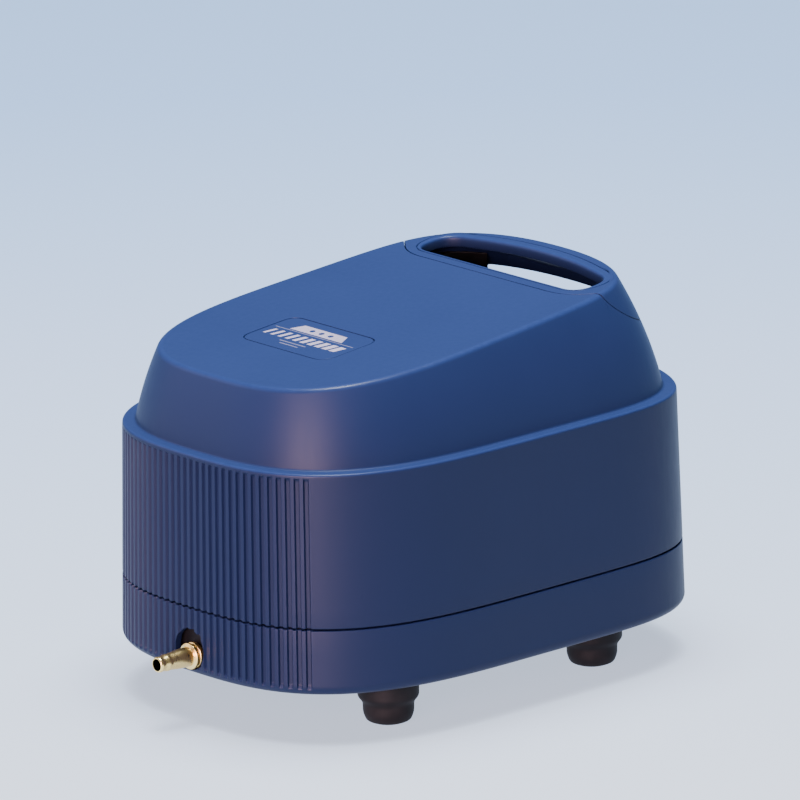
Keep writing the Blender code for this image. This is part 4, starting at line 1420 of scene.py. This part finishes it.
@dataclass
class HandleWell:
    """The black well under the slot, open to the back through the finger window."""

    form: CasingForm
    paint: Paintbox
    centre: tuple[float, float] = (0.0, 82.0)
    half: float = 55.8
    front: float = 56.8
    back: float = 130.0
    corner: float = 11.0
    floor: float = 140.0
    top: float = 162.4
    wall: float = 2.0
    low_inset: float = 18.6
    high_inset: float = 23.8
    mouth_half: float = 50.0
    mouth_top: float = 140.1
    columns: int = 720

    def build(self) -> bpy.types.Object:
        """Build the well: a closed profile carried round the outline at each bearing.

        A profile point is how far it has moved from the low outline to the high one, its
        offset from there, or None at the centre, and its height.

        Returns:
            The finished piece.
        """
        bearing = np.linspace(-math.pi, math.pi, self.columns, endpoint=False)
        box = rounded_path([(-self.half, self.front), (self.half, self.front), (self.half, self.back),
                            (-self.half, self.back)], [self.corner] * 4, 16)
        square = reach(box, self.centre, bearing)
        low, high = (np.minimum(square, reach(self.form.outline(inset), self.centre, bearing))
                     for inset in (self.low_inset, self.high_inset))
        across = np.abs(low * np.cos(bearing))
        open_end = (across < self.mouth_half) & (np.sin(bearing) > 0.0)
        rim = np.where(open_end, self.mouth_top, self.top)
        base, wall = self.floor - self.wall, self.wall
        profile = ((0.0, None, base), (0.0, -1.6, base), (0.0, -0.4, base + 0.3), (0.0, 0.0, base + 1.4),
                   (1.0, 0.0, self.top - 0.4), (1.0, -0.35, self.top), (1.0, 0.35 - wall, self.top),
                   (1.0, -wall, self.top - 0.4), (0.0, -wall, self.floor + 3.0),
                   (0.0, -wall - 0.5, self.floor + 1.2), (0.0, -wall - 2.6, self.floor),
                   (0.0, -wall - 3.4, self.floor), (0.0, None, self.floor))
        rows = []
        for climb, offset, z in profile:
            radius = 0.0 * low if offset is None else low + (high - low) * climb + offset
            height = np.minimum(z, rim)
            rows.append(np.stack([self.centre[0] + radius * np.cos(bearing),
                                  self.centre[1] + radius * np.sin(bearing), height], axis=1))
        grid = np.stack(rows)
        piece = make_piece("well_liner", grid.reshape(-1, 3), grid_faces(len(rows), len(bearing)))
        self.paint.coat(piece, Finish.BLACK)
        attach(piece, "handle_cap")
        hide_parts("handle_well")
        return piece


def cylinders(name: str, rods: Sequence[tuple[Point, Point, float]],
              sides: int = 48) -> bpy.types.Object:
    """Make one hidden tool of straight rods.

    Args:
        name: The tool's name.
        rods: The two ends and the radius of each rod.
        sides: How many sides a rod has.

    Returns:
        The tool.
    """
    turn = np.linspace(0.0, 2.0 * math.pi, sides, endpoint=False)
    points, faces = [], []
    for index, (start, end, radius) in enumerate(rods):
        start, end = np.array(start, float), np.array(end, float)
        axis = (end - start) / np.linalg.norm(end - start)
        aside = np.cross(axis, (1.0, 0.0, 0.0) if abs(axis[0]) < 0.9 else (0.0, 1.0, 0.0))
        other = np.cross(axis, aside)
        loop = radius * (np.outer(np.cos(turn), aside) + np.outer(np.sin(turn), other))
        ends = (start + 0.0 * loop, start + loop, end + loop, end + 0.0 * loop)
        points.append(np.concatenate(ends))
        faces.append(grid_faces(4, sides, start=index * 4 * sides))
    tool = make_piece(name, np.concatenate(points), np.concatenate(faces))
    tool.hide_render = True
    return tool


def carve(piece: bpy.types.Object, tool: bpy.types.Object, operation: str = "DIFFERENCE") -> None:
    """Cut or join a tool, keep the result as the piece's mesh and remove the tool.

    Args:
        piece: The piece to change.
        tool: A closed object.
        operation: DIFFERENCE to cut, UNION to join.
    """
    change = piece.modifiers.new(tool.name, "BOOLEAN")
    change.operation = operation
    change.solver = "EXACT"
    change.object = tool
    graph = bpy.context.evaluated_depsgraph_get()
    mesh = bpy.data.meshes.new_from_object(piece.evaluated_get(graph))
    piece.modifiers.clear()
    piece.data = mesh
    bpy.data.objects.remove(tool)


@dataclass
class BaseTray:
    """The ribbed base tray with its outlet port, cable hole, bosses and posts.

    An upright rod is given by its bottom, its top and its radius.
    """

    form: CasingForm
    paint: Paintbox
    bottom: float = 22.0
    fillet: float = 4.5
    wall: float = 3.0
    port_z: float = 33.3
    port_radius: float = 9.3
    gland_z: float = 38.0
    gland_radius: float = 5.9
    feet: tuple[float, float] = (59.0, 60.0)
    posts: tuple[Point, ...] = ((-64.0, -86.0), (64.0, -86.0), (-67.0, 92.0), (67.0, 92.0))
    boss: tuple[float, float, float] = (23.0, 38.0, 8.0)
    post: tuple[float, float, float] = (23.0, 51.4, 5.5)
    foot_hole: tuple[float, float, float] = (20.0, 40.0, 2.3)
    head_hole: tuple[float, float, float] = (20.0, 30.0, 4.2)
    shank_hole: tuple[float, float, float] = (29.0, 56.0, 2.3)

    def shell(self) -> bpy.types.Object:
        """Build the tray's walls and floor before its holes are cut.

        Returns:
            The bare tray.
        """
        form = self.form
        turn = np.linspace(0.0, math.pi / 2.0, 10)
        top = form.seam - form.seam_half
        foot = self.bottom + self.fillet
        z = np.concatenate([[self.bottom] * 3, foot - self.fillet * np.cos(turn),
                            foot + np.array([0.5, 1.2, 6.0, 14.0]),
                            top - np.array([0.7, 0.3, 0.08, 0.0])])
        lean = form.side_inset(np.maximum(z, foot))
        inset = lean + np.concatenate([[60.0, 30.0, 12.0], self.fillet * (1.0 - np.sin(turn)),
                                       np.zeros(4), [0.0, 0.04, 0.2, 0.5]])
        groove = np.concatenate([np.zeros(11), [0.35, 0.85], np.ones(8)])
        # painted highlight on the bottom fillet and at the seam's edge
        painted_light = np.concatenate([np.zeros(3), 0.35 * np.sin(2.0 * turn), np.zeros(4),
                                 [0.0, 0.2, 0.4, 0.4]])
        deep = np.clip((foot + 3.0 - z) / (self.fillet + 3.0), 0.0, 1.0)
        rows = len(z)
        outer = form.spread(inset[:, None] + groove[:, None] * form.groove, z[:, None])
        wall_in = self.wall - deep * 1.2
        inner = form.spread(inset[:, None] + wall_in[:, None], (z + self.wall * deep)[:, None])
        middle = np.tile([0.0, 0.0, self.bottom], (len(form.x), 1))
        outer = np.concatenate([middle[None], outer]).reshape(-1, 3)
        inner = np.concatenate([middle[None] + (0.0, 0.0, self.wall), inner]).reshape(-1, 3)
        # painted highlight also on the rib crests
        edge = np.maximum(painted_light[:, None], groove[:, None] * form.crest)
        edge = np.concatenate([np.zeros((1, len(form.x))), edge]).ravel()
        return make_shell("tray_shell", outer, inner, grid_faces(rows + 1, len(form.x)), edge)

    @staticmethod
    def upright(places: Sequence[Point], size: tuple[float, float, float]) -> list[tuple]:
        """Return a rod of one size at each place."""
        low, high, radius = size
        return [((x, y, low), (x, y, high), radius) for x, y in places]

    def build(self) -> bpy.types.Object:
        """Build the tray.

        Returns:
            The finished piece.
        """
        tray = self.shell()
        feet = [(sx * self.feet[0], sy * self.feet[1]) for sx in (-1.0, 1.0) for sy in (-1.0, 1.0)]
        end = self.form.half_length
        side = [((0.0, -end - 8.0, self.port_z), (0.0, -end + 6.0, self.port_z), self.port_radius),
                ((0.0, end - 8.0, self.gland_z), (0.0, end + 8.0, self.gland_z), self.gland_radius)]
        solid = self.upright(feet, self.boss) + self.upright(self.posts, self.post)
        holes = self.upright(feet, self.foot_hole) + self.upright(self.posts, self.head_hole) + side
        carve(tray, cylinders("solid_tool", solid), "UNION")
        carve(tray, cylinders("hole_tool", holes))
        carve(tray, cylinders("shank_tool", self.upright(self.posts, self.shank_hole), 24))
        tray.data.shade_smooth()
        tray.data.set_sharp_from_angle(angle=math.radians(32.0))
        self.paint.coat(tray, Finish.CASING)
        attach(tray, "casing")
        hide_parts("base_tray")
        return tray


# ------------------------------------------------------------------- turned pieces

@dataclass(frozen=True)
class TurnedPiece:
    """A piece made by turning a closed profile of (radius, distance) about a line."""

    name: str
    node: str
    finish: Finish
    profile: tuple[Point, ...]
    radii: tuple[float, ...]
    origin: Point
    axis: Point
    aside: Point
    sides: int = 72
    painted_light: float = 0.3
    bore: float = 0.0

    def build(self, paint: Paintbox, body: str = "casing") -> bpy.types.Object:
        """Turn the profile: each of its points goes round the axis at its radius.

        Args:
            paint: The finishes.
            body: The body that carries the piece.

        Returns:
            The piece.
        """
        line = rounded_path(self.profile, self.radii, 5)
        turn = np.linspace(0.0, 2.0 * math.pi, self.sides, endpoint=False)
        axis, aside = np.array(self.axis), np.array(self.aside)
        other = np.cross(axis, aside)
        spoke = np.outer(np.cos(turn), aside) + np.outer(np.sin(turn), other)
        points = (np.array(self.origin) + line[:, 1][:, None, None] * axis
                  + line[:, 0][:, None, None] * spoke[None])
        # edge is 0 in the bore, which the brass paints as shade, a near-black colour
        edge = np.repeat(np.where(line[:, 0] < self.bore, 0.0, self.painted_light), self.sides)
        piece = make_piece(self.name, points.reshape(-1, 3),
                           grid_faces(len(line), self.sides, wrap_rows=True), edge, 38.0)
        paint.coat(piece, self.finish)
        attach(piece, body)
        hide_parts(self.node)
        return piece


FOOT_PROFILE = ((13.5, 21.7), (13.5, 12.0), (11.3, 9.2), (11.2, 4.5), (9.9, 1.2), (6.9, 0.0), (5.9, 0.5),
                (4.6, 0.5), (3.6, 0.0), (3.6, 12.0), (2.3, 12.0), (2.3, 21.7))
FOOT_RADII = (0.7, 1.0, 1.2, 1.5, 1.0, 0.3, 0.3, 0.3, 0.3, 0.3, 0.2, 0.2)
NOZZLE_PROFILE = ((3.2, 141.3), (3.6, 140.4), (3.3, 138.7), (3.9, 136.1), (3.6, 134.9), (4.3, 128.8),
                  (4.3, 123.6), (5.9, 123.2), (5.9, 122.0), (4.9, 121.7), (4.9, 121.2), (5.9, 120.9),
                  (5.9, 119.5), (5.2, 118.9), (3.9, 118.9), (3.9, 108.0), (2.2, 108.0), (2.2, 135.3),
                  (2.6, 139.8), (2.6, 141.3))
NOZZLE_RADII = (0.3, 0.5, 0.7, 0.8, 0.4, 2.0, 0.15, 0.35, 0.35, 0.1, 0.1, 0.35, 0.45, 0.2, 0.2, 0.3,
                0.3, 1.0, 0.5, 0.2)
GLAND_PROFILE = ((7.2, 125.0), (8.0, 124.4), (8.0, 122.9), (5.5, 122.9), (5.5, 118.7), (8.0, 118.7),
                 (8.0, 117.3), (6.5, 116.5), (3.2, 116.5), (3.2, 125.0))
GLAND_RADII = (0.3, 0.4, 0.2, 0.1, 0.1, 0.2, 0.5, 0.5, 0.2, 0.5)


@dataclass
class Fittings:
    """The rubber feet, the brass hose nozzle and the rubber cable gland."""

    paint: Paintbox
    feet: tuple[float, float] = (59.0, 60.0)
    nozzle_z: float = 30.2
    gland_z: float = 38.0

    def build(self) -> list[bpy.types.Object]:
        """Build the turned fittings.

        Returns:
            The four feet, the nozzle and the gland.
        """
        right, up, back, front = (1.0, 0.0, 0.0), (0.0, 0.0, 1.0), (0.0, 1.0, 0.0), (0.0, -1.0, 0.0)
        made = []
        for sy, row in ((-1.0, "front"), (1.0, "rear")):
            for sx, side in ((-1.0, "left"), (1.0, "right")):
                place = (sx * self.feet[0], sy * self.feet[1], 0.0)
                made.append(TurnedPiece(f"foot_{row}_{side}", f"rubber_foot_{row}_{side}", Finish.RUBBER,
                                        FOOT_PROFILE, FOOT_RADII, place, up, right))
        made.append(TurnedPiece("hose_nozzle", "outlet_nozzle", Finish.BRASS, NOZZLE_PROFILE,
                                NOZZLE_RADII, (0.0, 0.0, self.nozzle_z), front, right, 96, bore=2.75))
        made.append(TurnedPiece("cord_gland", "cable_gland", Finish.RUBBER, GLAND_PROFILE, GLAND_RADII,
                                (0.0, 0.0, self.gland_z), back, right))
        return [piece.build(self.paint) for piece in made]


@dataclass
class LabelPlate:
    """The thin printed plate that lies in the recess of the sloping top."""

    form: CasingForm
    paint: Paintbox
    centre: tuple[float, float] = (0.0, -50.0)
    half: tuple[float, float] = (27.9, 16.0)
    radius: float = 6.5
    low: float = -0.7
    high: float = -0.1

    def build(self) -> bpy.types.Object:
        """Build the plate: rings from a rounded rectangle to its centre, and its map.

        Returns:
            The finished piece.
        """
        half_x, half_y = self.half
        corners = [(-half_x, -half_y), (half_x, -half_y), (half_x, half_y), (-half_x, half_y)]
        outline = rounded_path(corners, [self.radius] * 4, 12)
        loop = resample(np.concatenate([outline, outline[:1]]), 241)[:-1]
        levels = ((0.0, self.low), (1.0, self.low), (1.0, self.high - 0.12), (0.996, self.high - 0.03),
                  (0.985, self.high), (0.6, self.high), (0.0, self.high))
        flat = np.concatenate([np.column_stack([loop * share, np.full(len(loop), z)])
                               for share, z in levels])
        slope = math.atan(self.form.top_slope)
        tilt = np.array(Matrix.Rotation(slope, 3, "X"))
        base = np.array([*self.centre, float(self.form.top(self.centre[1]))])
        piece = make_piece("printed_plate", flat @ tilt.T + base, grid_faces(len(levels), len(loop)))
        self.map(piece, base, tilt)
        self.paint.cover(piece, self.paint.panel)
        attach(piece, "casing")
        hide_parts("label_plate")
        return piece

    @staticmethod
    def map(piece: bpy.types.Object, base: np.ndarray, tilt: np.ndarray) -> None:
        """Give the piece a map whose numbers are millimetres in the plate's own plane.

        Args:
            piece: The plate.
            base: The map's origin, from the casing's centre.
            tilt: The turn from the plate's plane to upright axes.
        """
        mesh = piece.data
        places = np.zeros(len(mesh.vertices) * 3, np.float32)
        mesh.vertices.foreach_get("co", places)
        local = (places.reshape(-1, 3) / MM - casing_centre() - base) @ tilt
        corners = np.zeros(len(mesh.loops), np.int32)
        mesh.loops.foreach_get("vertex_index", corners)
        chart = mesh.uv_layers.new(name="panel_mm")
        chart.uv.foreach_set("vector", local[corners, :2].astype(np.float32).ravel())


# ------------------------------------------------------------------- carried pieces

class Insides:
    """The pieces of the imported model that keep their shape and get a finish."""

    def __init__(self, paint: Paintbox) -> None:
        """Keep the paintbox."""
        self.paint = paint

    def dress(self) -> int:
        """Put each shown node's finish on it and return how many there are."""
        slots = {part["node"]: part["material_slot"] for part in frame["record"]["subparts"]}
        shown = [(name, node) for name, node in frame["nodes"].items() if not node.hide_render]
        for name, node in shown:
            self.paint.coat(node, Finish(slots[name]))
        return len(shown)


# --------------------------------------------------------------------------- studio

@dataclass(frozen=True)
class Lamp:
    """A square soft light that faces the pump's middle, seen in gloss or not."""

    name: str
    place: Point
    size: float
    watts: float
    colour: Point
    mirrored: bool = True
    target: Point = (0.0, 0.0, 0.08)

    def build(self) -> None:
        """Make the light."""
        data = bpy.data.lights.new(self.name, "AREA")
        data.shape = "SQUARE"
        data.size, data.energy, data.color = self.size, self.watts, self.colour
        lamp = bpy.data.objects.new(self.name, data)
        lamp.location = self.place
        lamp.visible_glossy = self.mirrored
        away = Vector(self.place) - Vector(self.target)
        lamp.rotation_euler = away.to_track_quat("Z", "Y").to_euler()
        bpy.context.scene.collection.objects.link(lamp)


LAMPS = (
    Lamp("overhead", (-0.05, 0.1, 2.1), 1.3, 350.0, (0.93, 0.97, 1.0), mirrored=False),
    Lamp("gloss", (0.05, 0.0, 2.1), 0.5, 75.0, (0.93, 0.97, 1.0)),
    Lamp("front", (1.1, -2.1, 0.4), 1.5, 230.0, (1.0, 0.62, 0.64)),
    Lamp("left", (-1.6, -1.4, 0.9), 1.6, 18.0, (1.0, 0.8, 0.8)),
)


@dataclass
class Studio:
    """A pale floor, soft lights and the camera.

    The camera's distance, shift and aim are in millimetres; the floor is in metres.
    """

    azimuth: float = 48.69
    elevation: float = 15.9
    roll: float = -1.16
    distance: float = 5000.0
    shift: tuple[float, float] = (0.21, 66.2)
    aim_z: float = 52.0
    lens: float = 510.7
    sensor: float = 36.0
    floor_size: float = 30.0
    near_floor: Point = (0.60, 0.63, 0.70)
    far_floor: Point = (0.27, 0.43, 0.72)
    fade: tuple[float, float] = (1.6, 0.36)
    glow: float = 1.45
    sky: Point = (0.62, 0.74, 0.92)
    sky_strength: float = 0.2

    def axes(self) -> tuple[Vector, Vector, Vector]:
        """Return the camera's right, up and backward directions."""
        around, above, roll = (math.radians(a) for a in (self.azimuth, self.elevation, self.roll))
        flat = math.cos(above)
        back = Vector((math.sin(around) * flat, -math.cos(around) * flat, math.sin(above)))
        side = Vector((math.cos(around), math.sin(around), 0.0))
        up = back.cross(side)
        turned = side * math.cos(roll) + up * math.sin(roll)
        return turned, up * math.cos(roll) - side * math.sin(roll), back

    def camera(self) -> None:
        """Make the camera: far away with a long lens, and make it the scene's camera."""
        right, up, back = self.axes()
        aim = Vector(casing_centre() + (0.0, 0.0, self.aim_z))
        place = aim + back * self.distance + right * self.shift[0] + up * self.shift[1]
        data = bpy.data.cameras.new("view")
        data.lens = self.lens
        data.sensor_width = self.sensor
        data.clip_start, data.clip_end = 0.1, 200.0
        camera = bpy.data.objects.new("view", data)
        turn = Matrix((right, up, back)).transposed().to_4x4()
        camera.matrix_world = Matrix.Translation(place * MM) @ turn
        bpy.context.scene.collection.objects.link(camera)
        bpy.context.scene.camera = camera

    def floor(self) -> None:
        """Make the floor, whose pale blue deepens away from the camera."""
        half = self.floor_size / 2.0
        mesh = bpy.data.meshes.new("floor")
        corners = [(x, y, 0.0) for x, y in ((-half, -half), (half, -half), (half, half), (-half, half))]
        mesh.from_pydata(corners, [], [(0, 1, 2, 3)])
        graph = Graph("studio_floor")
        x, y, _ = graph.split(graph.place())
        heading = math.radians(self.azimuth)
        away = y * math.cos(heading) - x * math.sin(heading)
        width, start = self.fade
        pale = graph.mix((away / width + start).clipped(), self.near_floor, self.far_floor)
        graph.set(Base_Color=graph.mix(0.8, pale, (0.0, 0.0, 0.0)), Emission_Color=pale,
                  Emission_Strength=self.glow, Roughness=0.6, Specular_IOR_Level=0.2)
        floor = bpy.data.objects.new("floor", mesh)
        Paintbox.cover(floor, graph.material)
        bpy.context.scene.collection.objects.link(floor)

    def world(self) -> None:
        """Make the even light of the surroundings."""
        world = bpy.data.worlds.new("studio")
        bpy.context.scene.world = world
        world.use_nodes = True
        back = world.node_tree.nodes["Background"]
        back.inputs["Color"].default_value = (*self.sky, 1.0)
        back.inputs["Strength"].default_value = self.sky_strength

    def build(self) -> None:
        """Make the whole studio."""
        self.camera()
        self.floor()
        for lamp in LAMPS:
            lamp.build()
        self.world()


def main() -> None:
    """Build every piece in order, then the studio."""
    logging.basicConfig(level=logging.INFO, format="%(name)s: %(message)s")
    paint = Paintbox()
    form = CasingForm()
    upper = UpperParts(form)
    pieces = [BaseTray(form, paint).build(), Housing(upper, paint).build(),
              HandleCap(upper, paint).build(), HandleWell(form, paint).build(),
              LabelPlate(form, paint).build(), *Fittings(paint).build()]
    for piece in pieces:
        LOG.info("%s: %d faces", piece.name, len(piece.data.polygons))
    LOG.info("%d packed pieces dressed", Insides(paint).dress())
    Studio().build()


if __name__ == "__main__":
    main()
